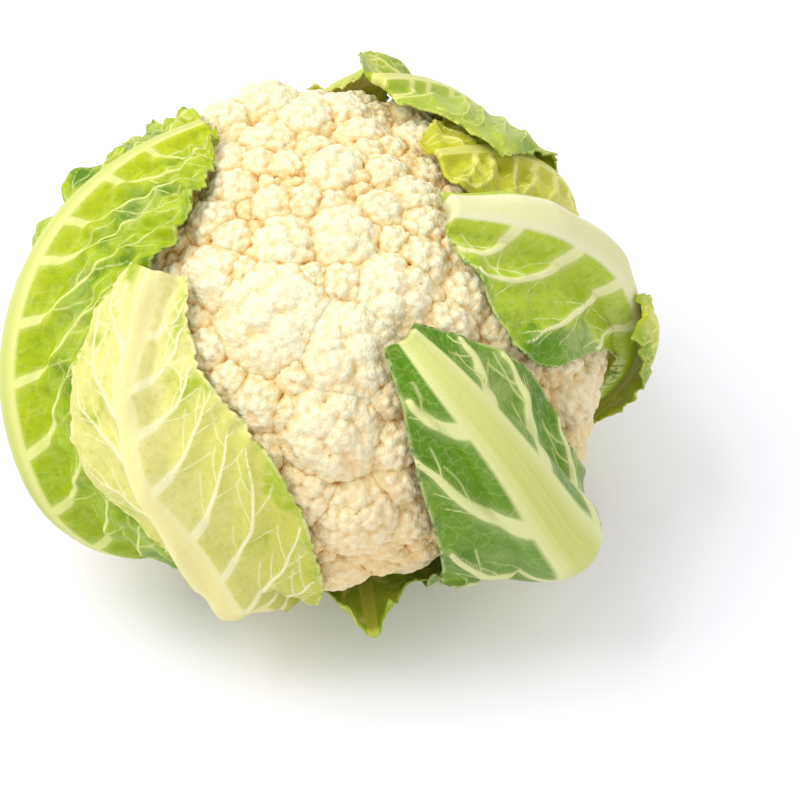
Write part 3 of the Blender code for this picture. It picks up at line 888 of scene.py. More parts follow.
def vein_lines(leaf, seed):
    """The leaf's laterals, and the branches on them."""
    rng = np.random.default_rng(seed)
    laterals, branches = [], []
    for side in (-1, 1):
        start = rng.uniform(*VEIN_FIRST)
        while start < VEIN_LAST:
            if leaf.half_width(start, side) > smooth(leaf.rib, np.array(start)) + VEIN_ROOM:
                line, width = lateral_line(rng, leaf, side, start)
                laterals.append((line, width))
                turn = rng.choice((-1, 1))
                for at in BRANCH_AT:
                    turn = -turn
                    shifted = at + rng.uniform(-BRANCH_SHIFT, BRANCH_SHIFT)
                    branch = branch_line(rng, leaf, line, width, shifted, turn)
                    if len(branch[0]) > BRANCH_FEWEST:
                        branches.append(branch)
            start += leaf.vein_step / leaf.length * rng.uniform(0.75, 1.25)
    return laterals, branches


def off_veins(across, along, lines):
    """How far each point is from the nearest line: in that vein's half widths, and in millimetres."""
    shares, gaps = np.full(across.shape, FAR_OFF), np.full(across.shape, FAR_OFF)
    for line, width in lines:
        for a, b, wide in zip(line[:-1], line[1:], width):
            step = b - a
            t = ((across - a[0]) * step[0] + (along - a[1]) * step[1]) / (step @ step)
            t = np.clip(t, 0, 1)
            gap = np.hypot(across - a[0] - t * step[0], along - a[1] - t * step[1])
            shares = np.minimum(shares, gap / (wide / 2))
            gaps = np.minimum(gaps, gap)
    return shares, gaps


def ripple(seed, across, along, wavelength):
    """Smooth random hills between about -1 and 1, with this wavelength."""
    rng = np.random.default_rng(seed)
    total = np.zeros(across.shape)
    for _ in range(6):
        turn, phase = rng.uniform(0, 2 * math.pi, 2)
        wave = 2 * math.pi / (wavelength * rng.uniform(0.7, 1.5))
        total += np.sin(wave * (math.cos(turn) * across + math.sin(turn) * along) + phase)
    return total / 3


print("branches at", BRANCH_AT, "of a lateral")

# %% The leaf
RIB_WIDEN = 1.15
RIB_ROUND = 0.55
THIN_EDGE = 0.8
RIDGE = 0.36
DRAWN_IN = 1.2
DRAWN_FROM = (0.5, 6.0)
PUCKER_WAVE = 9.0
RUFFLE_WAVE = 15.0
TOOTH_WAVES = (3.7, 17.0)
RIM_FROM = (0.18, 0.4)
RIB_COLUMNS = 12


class Leaf:
    """A leaf given at even stations from its foot on the stem to its tip.

    route holds the azimuth and elevation of the rib, lift its height over the shell, left and
    right the blade's half widths as seen from outside with the tip up, and rib and swell the
    rib's half width and height. curl is how far each margin turns out near the tip, wave the
    height and number of the waves along both margins, ruffle, tooth and pucker the size of the
    margins' fine folds and teeth and of the blade's hills, vein_step the distance between
    laterals, vein their width at the rib and at the end, and step that of the mesh's points.
    """

    def __init__(self, name, route, lift, left, right, rib, swell, curl=(0, 0), wave=(1.2, 5),
                 ruffle=0.8, tooth=0.4, pucker=0.45, vein_step=14.0, vein=(1.8, 0.5), step=1.0):
        self.name = name
        self.route = np.array([unit(*point) for point in route])
        self.lift, self.left, self.right = lift, left, right
        self.rib, self.swell = rib, swell
        self.curl, self.wave = curl, wave
        self.ruffle, self.tooth, self.pucker = ruffle, tooth, pucker
        self.vein_step, self.vein, self.step = vein_step, vein, step
        self.seed = sum(ord(letter) for letter in name)
        line = normalised(smooth(self.route, np.linspace(0, 1, LAY_ROWS)))
        points = line * shell_radius(line)[:, None]
        self.length = float(np.linalg.norm(np.diff(points, axis=0), axis=1).sum())
        self.laterals, self.branches = vein_lines(self, self.seed)

    def half_widths(self, u):
        least = smooth(self.rib, u) + LEAST_BLADE
        return np.maximum(smooth(self.left, u), least), np.maximum(smooth(self.right, u), least)

    def half_width(self, u, side):
        return self.half_widths(np.asarray(u, float))[0 if side < 0 else 1]

    def directions(self, u, x):
        """Directions from the head's centre to the points x millimetres across the leaf at u."""
        d = normalised(smooth(self.route, u))
        ahead = smooth(self.route, np.minimum(u + AHEAD, 1)) - smooth(self.route, np.maximum(u - AHEAD, 0))
        along = normalised(ahead - (ahead * d).sum(-1, keepdims=True) * d)
        side = np.cross(along, d)
        turn = (x / shell_radius(d))[..., None]
        lean = SWEEP * np.abs(turn) * ramp(u, *SWEEP_FROM)[..., None]
        return normalised(d * np.cos(turn) + side * np.sin(turn) + along * lean)

    def thickness(self, u, x, v):
        share = np.minimum(np.abs(x) / (smooth(self.rib, u) * RIB_WIDEN), 1)
        blade = BLADE - THIN_EDGE * np.minimum(np.abs(v), 1) ** 2
        return blade + smooth(self.swell, u) * (1 - share**2) ** RIB_ROUND

    def relief(self, u, x, v):
        """The fine height of the blade: ridges along the laterals, puckers and ruffled margins."""
        along = u * self.length
        off_rib = ramp(np.abs(x) / smooth(self.rib, u), 1.0, 1.5)
        vein, gap = off_veins(x, along, self.laterals)
        ridge = RIDGE * self.vein[0] * np.exp(-(vein**2) / 2) - DRAWN_IN * ramp(gap, *DRAWN_FROM)
        pucker = self.pucker * ripple(self.seed, x, along, PUCKER_WAVE)
        fold = 1 + np.sin(2 * math.pi * along / RUFFLE_WAVE + 1.8 * ripple(self.seed + 1, x, along, 30.0))
        ruffle = self.ruffle * fold * np.abs(v) ** 5 * ramp(u, *RIM_FROM)
        return off_rib * (ridge + pucker) + ruffle, vein

    def lay(self, laid):
        """Settles the leaf over the shell and over the curd and every leaf laid before it."""
        u, v = np.meshgrid(np.linspace(0, 1, LAY_ROWS), np.linspace(-1, 1, LAY_COLUMNS), indexing="ij")
        left, right = self.half_widths(u)
        x = v * np.where(v < 0, left, right)
        d = self.directions(u, x)
        margin = v**2 * ramp(u, *HUG_FROM)
        curl = np.where(v < 0, self.curl[0], self.curl[1]) * ramp(u, *CURL_FROM)
        waves = self.wave[0] * (1 + np.sin(2 * math.pi * self.wave[1] * u + 2 * v))
        hug = 1 - HUG * margin
        wanted = shell_radius(d) + smooth(self.lift, u) * hug + margin * (curl * np.abs(v) + waves)
        spread = LAY_SPREAD[0] + (LAY_SPREAD[1] - LAY_SPREAD[0]) * ramp(u, *SPREAD_FROM)
        wide = laid.under(d, spread) + LAY_GAP
        close = laid.under(d, spread * CLOSE_SHARE) + LAY_GAP
        inner = np.maximum(wanted, wide)
        for _ in range(SMOOTH_PASSES):
            padded = np.pad(inner, 1, mode="edge")
            around = padded[:-2, 1:-1] + padded[2:, 1:-1] + padded[1:-1, :-2] + padded[1:-1, 2:]
            inner = np.maximum((inner + around) / 5, close)
        self.inner = inner
        laid.add(d, inner + self.thickness(u, x, v) + self.relief(u, x, v)[0])

    def inner_radius(self, u, v):
        """The laid inner face's distance from the head's centre, between the points where it was settled."""
        row = np.clip(u, 0, 1) * (LAY_ROWS - 1)
        column = (np.clip(v, -1, 1) + 1) / 2 * (LAY_COLUMNS - 1)
        i = np.minimum(row.astype(int), LAY_ROWS - 2)
        j = np.minimum(column.astype(int), LAY_COLUMNS - 2)
        f, g = row - i, column - j
        top = self.inner[i, j] * (1 - g) + self.inner[i, j + 1] * g
        bottom = self.inner[i + 1, j] * (1 - g) + self.inner[i + 1, j + 1] * g
        return top * (1 - f) + bottom * f

    def outer_radius(self, u, x):
        """The outer face's distance from the head's centre."""
        left, right = self.half_widths(u)
        v = x / np.where(x < 0, left, right)
        return self.inner_radius(u, v) + self.thickness(u, x, v) + self.relief(u, x, v)[0]

    def grid(self):
        """The mesh's points: u, x and v of each, in rows from foot to tip."""
        rows = 2 * round(self.length / self.step / 2) + 1
        widest = max(max(self.left), max(self.right)) - min(self.rib)
        columns = round(widest / self.step / 2) * 2
        u = np.repeat(np.linspace(0, 1, rows)[:, None], 2 * columns + RIB_COLUMNS + 1, axis=1)
        left, right = self.half_widths(u[:, :1])
        rib = smooth(self.rib, u[:, :1])
        share = np.linspace(1, 0, columns + 1)[None, :-1]
        middle = np.linspace(-1, 1, RIB_COLUMNS + 1)[None]
        along = u[:, :1] * self.length
        small, large = (np.sin(2 * math.pi * along / wave) for wave in TOOTH_WAVES)
        tooth = self.tooth * (small + 0.7 * large * small + large) * ramp(u[:, :1], *RIM_FROM)
        left_side = -(rib + (left + tooth * share**8 - rib) * share)
        right_side = (rib + (right - tooth * share**8 - rib) * share)[:, ::-1]
        x = np.concatenate([left_side, rib * middle, right_side], axis=1)
        return u, x, x / np.where(x < 0, left, right)

    def build(self, material):
        """The leaf as one closed body: a fine outer face, and an inner one of every second point."""
        u, x, v = self.grid()
        relief, vein = self.relief(u, x, v)
        fine = off_veins(x, u * self.length, self.branches)[1]
        d = self.directions(u, x)
        inner = self.inner_radius(u, v) + relief
        outer = inner + self.thickness(u, x, v)
        rows, columns = x.shape
        index = np.arange(rows * columns).reshape(rows, columns)
        half = index[::2, ::2]
        low = np.arange(half.size).reshape(half.shape) + index.size
        faces = quads(index) + [face[::-1] for face in quads(low)]
        fine_rim, low_rim = rim(index), rim(low)
        for k, (a, b) in enumerate(zip(low_rim, np.roll(low_rim, -1))):
            p, q, r = (fine_rim[(2 * k + n) % len(fine_rim)] for n in range(3))
            faces += [(a, q, p), (a, b, q), (b, r, q)]
        outer_points = (d * outer[..., None]).reshape(-1, 3)
        inner_points = (d * inner[..., None])[::2, ::2].reshape(-1, 3)
        points = np.concatenate([outer_points, inner_points])
        data = bpy.data.meshes.new(self.name)
        data.from_pydata(placed(points).tolist(), [], [tuple(int(n) for n in face) for face in faces])
        data.shade_smooth()

        def both(values):
            return np.concatenate([values.ravel(), values[::2, ::2].ravel()])

        left, right = self.half_widths(u)
        set_attribute(data, "rib", both(1 - np.abs(x) / smooth(self.rib, u)))
        set_attribute(data, "vein", both(vein))
        set_attribute(data, "branch", both(fine))
        set_attribute(data, "edge", both((1 - np.abs(v)) * np.where(x < 0, left, right)))
        set_attribute(data, "along", both(u))
        set_attribute(data, "inside", np.arange(len(points)) >= index.size)
        place = np.stack([both(x), both(u * self.length)], axis=1) * MM
        corners = np.zeros(len(data.loops), np.int32)
        data.loops.foreach_get("vertex_index", corners)
        data.uv_layers.new(name="leaf").data.foreach_set("uv", place[corners].astype(np.float32).ravel())
        data.materials.append(material)
        return added(self.name, data)


def quads(index):
    """The quads of a grid of vertices."""
    corners = (index[:-1, :-1], index[:-1, 1:], index[1:, 1:], index[1:, :-1])
    return list(zip(*(corner.ravel() for corner in corners)))


def rim(index):
    """The vertices round a grid, once."""
    return np.concatenate([index[0, :-1], index[:-1, -1], index[-1, :0:-1], index[:0:-1, 0]])


print("leaf form ready")

# %% The ten leaves
LEAVES = [
    Leaf("leaf_inner_right",
         route=[(44, -62), (40, -35), (34, -5), (28, 22), (24, 44), (16, 62)],
         lift=(-8, -6, 0, 1, 1, 1),
         left=(6, 12, 24, 32, 30, 12), right=(6, 12, 24, 28, 22, 8),
         rib=(5, 5, 4.5, 4, 3, 2), swell=(4, 4, 3.5, 3, 2, 1), wave=(0.6, 4),
         pucker=0.7, vein_step=12, vein=(2.2, 0.6), step=1.3),
    Leaf("leaf_small_front",
         route=[(-73, -62), (-74, -50), (-77, -37), (-79, -25)],
         lift=(-7, -3, 8, 20),
         left=(5, 12, 18, 6), right=(5, 12, 18, 6),
         rib=(4.5, 4, 3, 2), swell=(4, 3, 2, 1), wave=(0.8, 3), step=0.8),
    Leaf("leaf_back",
         route=[(113, -69), (111, -50), (108, -32), (105, -14), (100, 3), (91, 14), (84, 24), (78, 33)],
         lift=(-2, 0, 1, 1, 1, 1, 3, 6),
         left=(7, 9, 20, 34, 36, 24, 12, 6), right=(7, 9, 20, 32, 28, 15, 6, 5),
         rib=(7, 7.5, 7.5, 7, 6, 5, 4, 3), swell=(8, 9, 9, 8, 6.5, 5, 3.5, 2), step=1.5),
    Leaf("leaf_back_left",
         route=[(160, -69), (159, -50), (156, -32), (152, -14), (148, 0), (144, 9), (140, 16), (136, 23)],
         lift=(-2, 0, 1, 1, 1.5, 1.5, 1.5, 1.5),
         left=(7, 9, 20, 34, 34, 24, 13, 7), right=(7, 9, 20, 34, 38, 30, 18, 8),
         rib=(7, 7.5, 7.5, 7, 6, 5, 4, 3), swell=(8, 9, 9, 8, 6.5, 5, 3.5, 2), step=1.5),
    Leaf("leaf_left",
         route=[(212, -69), (217, -47), (221, -26), (214, -4), (200, 14), (184, 32), (165, 48), (143, 57)],
         lift=(-2, 0, 2, 6, 7, 6, 3, 1),
         left=(7, 10, 14, 22, 28, 32, 30, 9), right=(7, 14, 34, 46, 42, 42, 31, 8),
         rib=(7.5, 8, 8.5, 8, 7.5, 6, 4, 3), swell=(9, 9, 9, 9, 8.5, 7, 5, 2), wave=(1.2, 6),
         ruffle=1.8, tooth=0.5, pucker=1.5, vein_step=15, vein=(1.2, 0.4)),
    Leaf("leaf_right",
         route=[(22, -69), (20, -50), (14, -31), (6, -12), (0, 7), (-3, 25), (-9, 43), (-22, 59)],
         lift=(-2, -2, -2, -1, 0, 3, 3, 2),
         left=(7, 9, 9, 9, 13, 42, 34, 7), right=(7, 9, 9, 9.5, 9.5, 9, 8.5, 7),
         rib=(7, 7.5, 8, 8, 8, 7.5, 7, 5.5), swell=(8, 9, 9, 10, 10, 10, 8.5, 6), wave=(1.0, 5),
         tooth=0.2, vein_step=20, vein=(3.2, 0.9)),
    Leaf("leaf_back_right",
         route=[(66, -69), (62, -50), (58, -31), (55, -12), (54, 7), (56, 25), (61, 41), (68, 55)],
         lift=(-2, 0, 1, 1, 1.5, 2, 3, 5),
         left=(7, 9, 14, 20, 27, 41, 47, 12), right=(7, 9, 16, 26, 32, 32, 22, 7),
         rib=(7, 7.5, 7.5, 7, 6, 5, 4.5, 4), swell=(8, 9, 9, 8, 6.5, 5, 4, 2.5), curl=(0, 9),
         tooth=0.6, vein_step=10.5, vein=(1.6, 0.5)),
    Leaf("leaf_small_right",
         route=[(-5, -69), (3, -46), (8, -24), (3, -1), (-6, 14)],
         lift=(-2, -1, -1, 1, 2),
         left=(5, 6, 7, 16, 8), right=(5, 6, 7, 9, 5),
         rib=(4, 4, 3.5, 3, 2), swell=(5, 5, 4, 3, 1), curl=(6, 0), wave=(0.8, 2),
         tooth=0.2, vein_step=12),
    Leaf("leaf_front_right",
         route=[(-41, -69), (-41, -50), (-40, -32), (-41, -14), (-49, 3), (-55, 19), (-61, 33), (-66, 43)],
         lift=(-2, 1, 8, 13, 11, 9, 7, 5),
         left=(7, 12, 26, 36, 30, 23, 13, 6), right=(7, 9, 14, 19, 23, 25, 16, 6),
         rib=(7, 9, 11, 12, 10.5, 8.5, 7, 4.5), swell=(9, 10, 11, 12, 10, 8, 7, 5), wave=(1.0, 4),
         ruffle=0.3, tooth=0.0, pucker=0.35, vein_step=26, vein=(5.2, 1.6)),
    Leaf("leaf_front_left",
         route=[(-100, -69), (-103, -50), (-106, -32), (-107, -14),
                (-112, 1), (-122, 16), (-131, 31), (-141, 48)],
         lift=(-2, -3, -5, -4, 0, 3, 4, 3),
         left=(7, 8, 9, 9, 10, 24, 20, 9), right=(7, 9, 16, 29, 36, 30, 16, 6),
         rib=(7, 7.5, 7.5, 7, 5, 4, 3, 2), swell=(8, 9, 9, 8.5, 6.5, 5, 4, 2), wave=(1.0, 5),
         ruffle=0.5, tooth=0.4, pucker=0.35, vein_step=15, vein=(1.5, 0.5)),
]
for leaf in LEAVES:
    leaf.lay(laid)
    veins_made = (len(leaf.laterals), "laterals,", len(leaf.branches), "branches")
    print(leaf.name, round(leaf.length), "mm long,", *veins_made)

# %% [markdown]
# ## The leaves' finish
# One function paints every leaf from a few colours: its rib, its blade near the rib, its blade
# further out, a deeper green for patches, and its veins. The mesh says how near each place is to
# the rib, a vein or the margin, and the leaf's own map of millimetres across and along carries
# the streaks of the rib and the finest net of veins.

# %% Leaf material
LEAF_COLOURS = {
    "leaf_inner_right": ((240, 236, 130), (226, 222, 70), (206, 206, 40), (176, 184, 20), (244, 240, 130)),
    "leaf_small_front": ((214, 222, 90), (178, 204, 40), (158, 192, 24), (116, 156, 10), (222, 228, 110)),
    "leaf_back": ((242, 240, 150), (226, 228, 100), (200, 212, 50), (160, 186, 26), (242, 240, 150)),
    "leaf_back_left": ((240, 238, 150), (220, 226, 90), (182, 204, 36), (140, 174, 16), (240, 238, 150)),
    "leaf_left": ((230, 232, 140), (146, 178, 2), (200, 212, 20), (88, 134, 0), (232, 236, 140)),
    "leaf_right": ((246, 244, 196), (164, 196, 14), (196, 214, 60), (100, 148, 4), (244, 244, 176)),
    "leaf_back_right": ((240, 240, 150), (206, 216, 84), (176, 198, 50), (134, 164, 24), (236, 236, 140)),
    "leaf_small_right": ((224, 228, 90), (190, 206, 24), (204, 214, 50), (136, 168, 6), (228, 232, 110)),
    "leaf_front_right": ((232, 236, 160), (126, 160, 40), (96, 144, 4), (56, 108, 0), (230, 234, 160)),
    "leaf_front_left": ((250, 244, 176), (196, 200, 30), (255, 244, 170), (172, 192, 6), (255, 252, 196)),
}
NET_CELL = 4.5
NET_WANDER = 5.0
STREAK = 0.9
MARGIN_WIDTH = 1.2
RIB_MIDDLE = colour(200, 206, 74)
RIB_MIDDLES = {"leaf_front_left": colour(244, 232, 146), "leaf_right": colour(228, 228, 146),
               "leaf_left": colour(186, 200, 84)}
LEAF_PATCHES = (55.0, 4.0)
LEAF_MOTTLE = (420.0, 3.0)
LEAF_FROST = (38.0, 7.0, 0.7)
WANDER_SCALE = 260.0
DEEP_FROM = (0.45, 0.6)
MOTTLE_FROM, MOTTLE_SHARE = (0.4, 0.8), 0.35
FROST_FROM, FROST_SHARE = (0.5, 0.7), 0.3
NET_LINE, NET_SHARE = 0.07, 0.16
VEIN_EDGE = (0.7, 1.25)
HALO_FROM, HALO_SHARE = (1.0, 2.4), 0.2
BRANCH_EDGE, BRANCH_TONE = (0.1, 0.6), 0.5
MARGIN_FROM, MARGIN_SHARE = 0.2, 0.4
TICK_FROM, TICK_SHARE, TICK_MOTTLE = (0.3, 0.9), 0.8, (0.52, 0.6)
STREAK_LONG = 14.0
RIB_EDGE = (0.2, 0.36)
LEAF_ROUGHNESS = 0.42
LEAF_SPECULAR = 0.25
LEAF_BUMP, LEAF_BUMP_DEPTH = 0.4, 0.3


def leaf_material(name):
    rib, near, far, deep, vein = (colour(*channels) for channels in LEAF_COLOURS[name])
    material, tree, surface = new_material(name + "_skin")

    def said(attribute):
        return tree.add("ShaderNodeAttribute", {"attribute_name": attribute}, output="Fac")

    place = tree.add("ShaderNodeTexCoord", output="Object")
    sheet = tree.add("ShaderNodeUVMap", {"uv_map": "leaf"})
    patches = tree.noise(place, *LEAF_PATCHES)
    mottle = tree.noise(place, *LEAF_MOTTLE)
    outward = said("rib").eased(-3.0, 0.0, 1.0, 0.0)
    blade = tree.mix(said("along") * 1.1 - outward * 0.2 + patches * 0.5 - 0.35, near, far)
    blade = tree.mix(patches.eased(*DEEP_FROM) * outward, blade, deep)
    blade = tree.mix(mottle.eased(*MOTTLE_FROM, 0.0, MOTTLE_SHARE), blade, deep)
    frost = tree.noise(place, *LEAF_FROST)
    blade = tree.mix(frost.eased(*FROST_FROM, 0.0, FROST_SHARE), blade, vein)
    wander = {"Vector": sheet, "Scale": WANDER_SCALE}
    wander = tree.add("ShaderNodeTexNoise", inputs=wander, output="Color")
    wander = {0: wander, 1: (NET_WANDER * MM,) * 3, 2: sheet}
    wander = tree.add("ShaderNodeVectorMath", {"operation": "MULTIPLY_ADD"}, wander)
    cells = {"Vector": wander, "Scale": 1 / (NET_CELL * MM), "Randomness": 1.0}
    net = tree.add("ShaderNodeTexVoronoi", {"feature": "DISTANCE_TO_EDGE"}, cells)
    net = net.eased(0.0, NET_LINE, 1.0, 0.0)
    near_vein = said("vein").eased(*VEIN_EDGE, 1.0, 0.0)
    near_branch = said("branch").eased(*BRANCH_EDGE, BRANCH_TONE, 0.0)
    blade = tree.mix(near_vein.at_least(near_branch).at_least(net * NET_SHARE), blade, vein)
    blade = tree.mix(said("vein").eased(*HALO_FROM, HALO_SHARE, 0.0), blade, vein)
    blade = tree.mix(said("edge").eased(MARGIN_FROM, MARGIN_WIDTH, MARGIN_SHARE, 0.0), blade, vein)
    ticks = said("edge").eased(*TICK_FROM, TICK_SHARE, 0.0) * mottle.eased(*TICK_MOTTLE)
    blade = tree.mix(ticks, blade, deep)
    stretched = {"Vector": sheet, "Scale": (1 / (STREAK * MM), STREAK_LONG, 1.0)}
    stretched = tree.add("ShaderNodeMapping", inputs=stretched)
    streaks = tree.noise(stretched, 1.0, 3.0)
    middle = RIB_MIDDLES.get(name, RIB_MIDDLE)
    green = said("rib").eased(0.3, 0.8, 0.0, 0.9) * said("along").eased(0.1, 0.9, 1.0, 0.45)
    ribbed = tree.mix(green + streaks * 0.6 - 0.3, rib, middle)
    whole = tree.mix(said("rib").eased(*RIB_EDGE), blade, ribbed)
    tree.plug(surface.inputs["Base Color"], whole)
    surface.inputs["Roughness"].default_value = LEAF_ROUGHNESS
    surface.inputs["Specular IOR Level"].default_value = LEAF_SPECULAR
    height = net * 0.4 + mottle * 0.5 + near_branch * 0.6 + streaks * 0.15
    bump = {"Height": height, "Strength": LEAF_BUMP, "Distance": LEAF_BUMP_DEPTH * MM}
    tree.plug(surface.inputs["Normal"], tree.add("ShaderNodeBump", inputs=bump))
    return material


leaf_pieces = {}
for leaf in LEAVES:
    piece = leaf.build(leaf_material(leaf.name))
    leaf_pieces[leaf.name] = piece
    piece.name = leaf.name + "_blade"
    print(piece.name, count_triangles(piece), "triangles")

# %% [markdown]
# ## The thin veins
# The branch veins are too thin for the blade's mesh, so each is a fine tube, half sunk in the
# outer face and thinner towards its end. One tree turns all the lines of a leaf into tubes.

# %% Vein tubes
VEIN_SIDES = 6
TUBE_SHARE = 0.5
TUBE_SINK = 0.75
TUBE_BELOW = 2.0
TUBE_WIDEST = 0.45
TUBE_TAPER = (4, 0.1)
TUBE_PATCHES = (140.0, 2.0)
TUBE_GREEN = 0.25


def vein_tree():
    group, tree, given = shape_tree("veins", {"Geometry": "Geometry", "Sides": "Int", "Material": "Material"})
    curves = tree.add("GeometryNodeMeshToCurve", inputs={"Mesh": given["Geometry"]})
    circle = {"Resolution": given["Sides"], "Radius": 1.0}
    circle = tree.add("GeometryNodeCurvePrimitiveCircle", inputs=circle)
    tubes = {"Curve": curves, "Profile Curve": circle, "Scale": named(tree, "thick"), "Fill Caps": True}
    tubes = tree.add("GeometryNodeCurveToMesh", inputs=tubes)
    end_tree(tree, tubes, given["Material"])
    return group


def vein_source(leaf):
    """The leaf's vein lines on its outer face, as a mesh of edges with a thickness at each point."""
    places, edges, thick = [], [], []
    flare = int(VEIN_POINTS * VEIN_FLARES)
    ridge_drop = RIDGE * leaf.vein[0] / 2
    laterals = leaf.laterals if leaf.vein[0] < TUBE_BELOW else []
    laterals = [(line[flare:], width[flare:], ridge_drop) for line, width in laterals]
    branches = [(line, width, 0) for line, width in leaf.branches]
    for line, width, drop in laterals + branches:
        u = np.clip(line[:, 1] / leaf.length, 0, 1)
        taper = np.minimum(1, np.linspace(*TUBE_TAPER, len(line)))
        radius = np.minimum(width * TUBE_SHARE, TUBE_WIDEST) * taper
        reach = leaf.outer_radius(u, line[:, 0]) - radius * TUBE_SINK - drop
        start = sum(len(p) for p in places)
        edges += [(start + k, start + k + 1) for k in range(len(line) - 1)]
        places.append(leaf.directions(u, line[:, 0]) * reach[:, None])
        thick.append(radius)
    mesh = bpy.data.meshes.new(leaf.name + "_lines")
    mesh.from_pydata(placed(np.concatenate(places)).tolist(), edges, [])
    set_attribute(mesh, "thick", np.concatenate(thick) * MM)
    return added(leaf.name + "_lines", mesh)


veins = vein_tree()


def vein_material(name):
    material, tree, surface = new_material(name + "_vein")
    place = tree.add("ShaderNodeTexCoord", output="Object")
    patches = tree.noise(place, *TUBE_PATCHES)
    vein, near = LEAF_COLOURS[name][4], LEAF_COLOURS[name][1]
    tone = tree.mix(patches.eased(0.3, 0.8, 0.0, TUBE_GREEN), colour(*vein), colour(*near))
    tree.plug(surface.inputs["Base Color"], tone)
    surface.inputs["Roughness"].default_value = LEAF_ROUGHNESS
    surface.inputs["Specular IOR Level"].default_value = LEAF_SPECULAR
    return material


vein_pieces = {}
for leaf in LEAVES:
    values = {"Sides": VEIN_SIDES, "Material": vein_material(leaf.name)}
    piece = grown(vein_source(leaf), veins, values, leaf.name + "_veins")
    piece.data.shade_smooth()
    vein_pieces[leaf.name] = piece
    print(piece.name, count_triangles(piece), "triangles")

# %% [markdown]
# ## The stem
# The stem was cut flat with a knife, and the head stands on that cut. It widens downwards to the
# leaves' feet. The cut shows a pale pith inside a greener ring, a pattern round the stem's axis.

# %% Stem
STEM_SPREAD = 20.2
STEM_FLARE = 18.0
STEM_GAP = 0.4
STEM_BEVEL = 1.5
STEM_SIDES = 120
STEM_RINGS = 24
STEM_FLUTES = 9
STEM_FLUTE_DEPTH = 0.35
STEM_SHARP = 35
STEM_NOISE = (350.0, 4.0)
CUT_RING_IN = (15.0, 17.0)
CUT_RING_OUT = (19.5, 21.0)
CUT_RING_SHARE = 0.7
CUT_WANDER = 2.0


def stem_material():
    material, tree, surface = new_material("stem_skin")
    place = tree.add("ShaderNodeTexCoord", output="Object")
    split = tree.nodes.new("ShaderNodeSeparateXYZ")
    tree.plug(split.inputs[0], place)
    x, y, z = (Socket(tree, output) for output in split.outputs)
    across = (x * x + y * y).root() * 1000
    noise = tree.noise(place, *STEM_NOISE)
    wandering = across + noise * CUT_WANDER
    ring = wandering.eased(*CUT_RING_IN) * wandering.eased(*CUT_RING_OUT, 1.0, 0.0)
    skin = tree.mix(noise.eased(0.35, 0.7), colour(206, 216, 150), colour(170, 190, 110))
    cut = tree.mix(noise.eased(0.4, 0.75, 0.0, 0.6), colour(238, 234, 198), colour(214, 206, 152))
    cut = tree.mix(ring * CUT_RING_SHARE, cut, colour(176, 190, 104))
    whole = tree.mix(z.eased(0.0002, 0.0012), cut, skin)
    tree.plug(surface.inputs["Base Color"], whole)
    surface.inputs["Roughness"].default_value = 0.55
    bump = {"Height": noise, "Strength": 0.4, "Distance": 0.4 * MM}
    tree.plug(surface.inputs["Normal"], tree.add("ShaderNodeBump", inputs=bump))
    return material


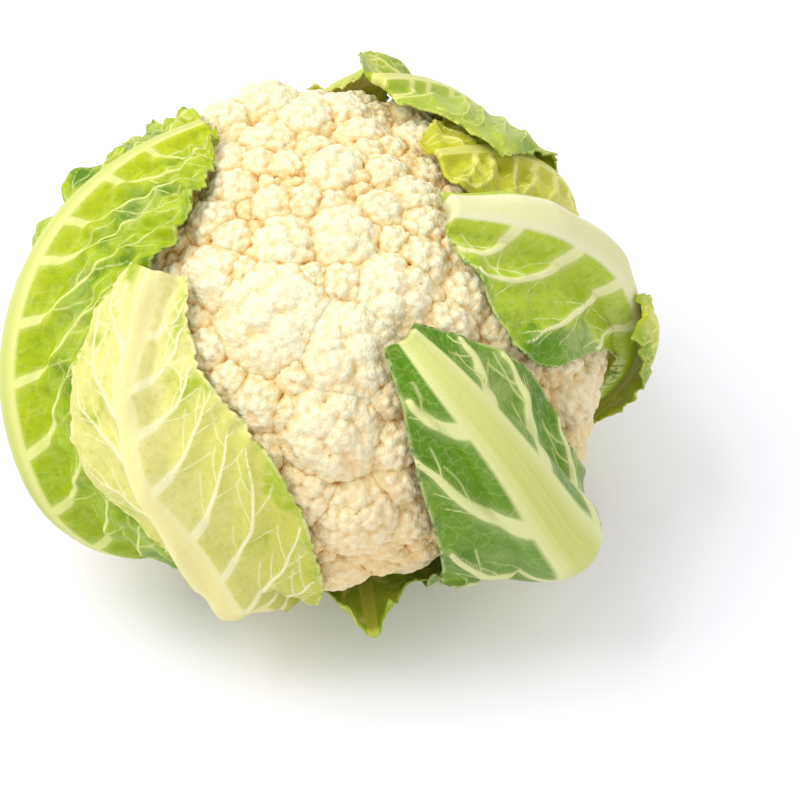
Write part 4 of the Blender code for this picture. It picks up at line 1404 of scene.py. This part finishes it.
def make_stem():
    """Rings of vertices up the stem, closed by fans at the cut and in the curd."""
    spread = math.tan(math.radians(STEM_SPREAD))
    top = HEAD_HEIGHT - CURD_FLOOR - STEM_GAP
    heights = np.concatenate([[0.0], np.linspace(STEM_BEVEL, top, STEM_RINGS)])
    radii = spread * (HEAD_HEIGHT - np.minimum(heights, STEM_FLARE))
    radii[0] -= STEM_BEVEL
    mesh = bmesh.new()
    rings = []
    for height, radius in zip(heights, radii):
        ring = []
        for k in range(STEM_SIDES):
            angle = 2 * math.pi * k / STEM_SIDES
            flute = STEM_FLUTE_DEPTH * (math.cos(STEM_FLUTES * angle) - 1)
            reach = (radius + flute) * MM
            ring.append(mesh.verts.new((reach * math.cos(angle), reach * math.sin(angle), height * MM)))
        rings.append(ring)
    for low, high in zip(rings, rings[1:]):
        for k in range(STEM_SIDES):
            after = (k + 1) % STEM_SIDES
            mesh.faces.new([low[k], low[after], high[after], high[k]])
    for ring, height in ((rings[0], 0.0), (rings[-1], top)):
        middle = mesh.verts.new((0, 0, height * MM))
        for k in range(STEM_SIDES):
            mesh.faces.new([middle, ring[k], ring[(k + 1) % STEM_SIDES]])
    bmesh.ops.recalc_face_normals(mesh, faces=mesh.faces)
    data = bpy.data.meshes.new("stem_cut")
    mesh.to_mesh(data)
    mesh.free()
    data.shade_smooth()
    data.set_sharp_from_angle(angle=math.radians(STEM_SHARP))
    data.materials.append(stem_material())
    return added("stem_cut", data)


stem = make_stem()
print("stem:", count_triangles(stem), "triangles")

# %% [markdown]
# ## What rides on what
# Nothing on a cauliflower moves on its own, so every piece rides on the one body, and the imported
# solid that it stands for is hidden.

# %% Rides and replacements
for piece in curd_pieces:
    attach(piece, "root")
    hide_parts("curd")
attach(stem, "root")
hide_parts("stem")
for leaf in LEAVES:
    for piece in (leaf_pieces[leaf.name], vein_pieces[leaf.name]):
        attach(piece, "root")
        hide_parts(leaf.name)

# %% [markdown]
# ## Floor and light
# The photograph is bright, on white, with one soft shadow falling to the lower right. A white
# floor, a white world and one large lamp from the upper left give that.

# %% Studio
FLOOR_SIZE = 3.0
FLOOR_COLOUR = (0.87, 0.86, 0.94, 1.0)
FLOOR_GLOW = 0.1
WORLD_LIGHT = 0.92
LAMP_PLACE = (-0.45, -0.05, 0.85)
LAMP_SIZE = 0.6
LAMP_POWER = 5.0

floor_mesh = bmesh.new()
bmesh.ops.create_grid(floor_mesh, size=FLOOR_SIZE)
floor = added("floor", bpy.data.meshes.new("floor"))
floor_mesh.to_mesh(floor.data)
floor_mesh.free()
white_floor, _, white_surface = new_material("white_floor")
white_surface.inputs["Base Color"].default_value = FLOOR_COLOUR
white_surface.inputs["Roughness"].default_value = 0.9
white_surface.inputs["Emission Color"].default_value = (1, 1, 1, 1)
white_surface.inputs["Emission Strength"].default_value = FLOOR_GLOW
floor.data.materials.append(white_floor)

studio = bpy.data.worlds.new("studio")
bpy.context.scene.world = studio
studio.use_nodes = True
sky = studio.node_tree.nodes["Background"]
sky.inputs["Color"].default_value = (1, 1, 1, 1)
sky.inputs["Strength"].default_value = WORLD_LIGHT
lamp = added("key_lamp", bpy.data.lights.new("key_lamp", "AREA"))
lamp.data.energy = LAMP_POWER
lamp.data.size = LAMP_SIZE
lamp.location = LAMP_PLACE
faced(lamp, lamp.location - head)
bpy.context.scene.view_settings.view_transform = "Standard"
print("lamp", LAMP_POWER, "W, world", WORLD_LIGHT)
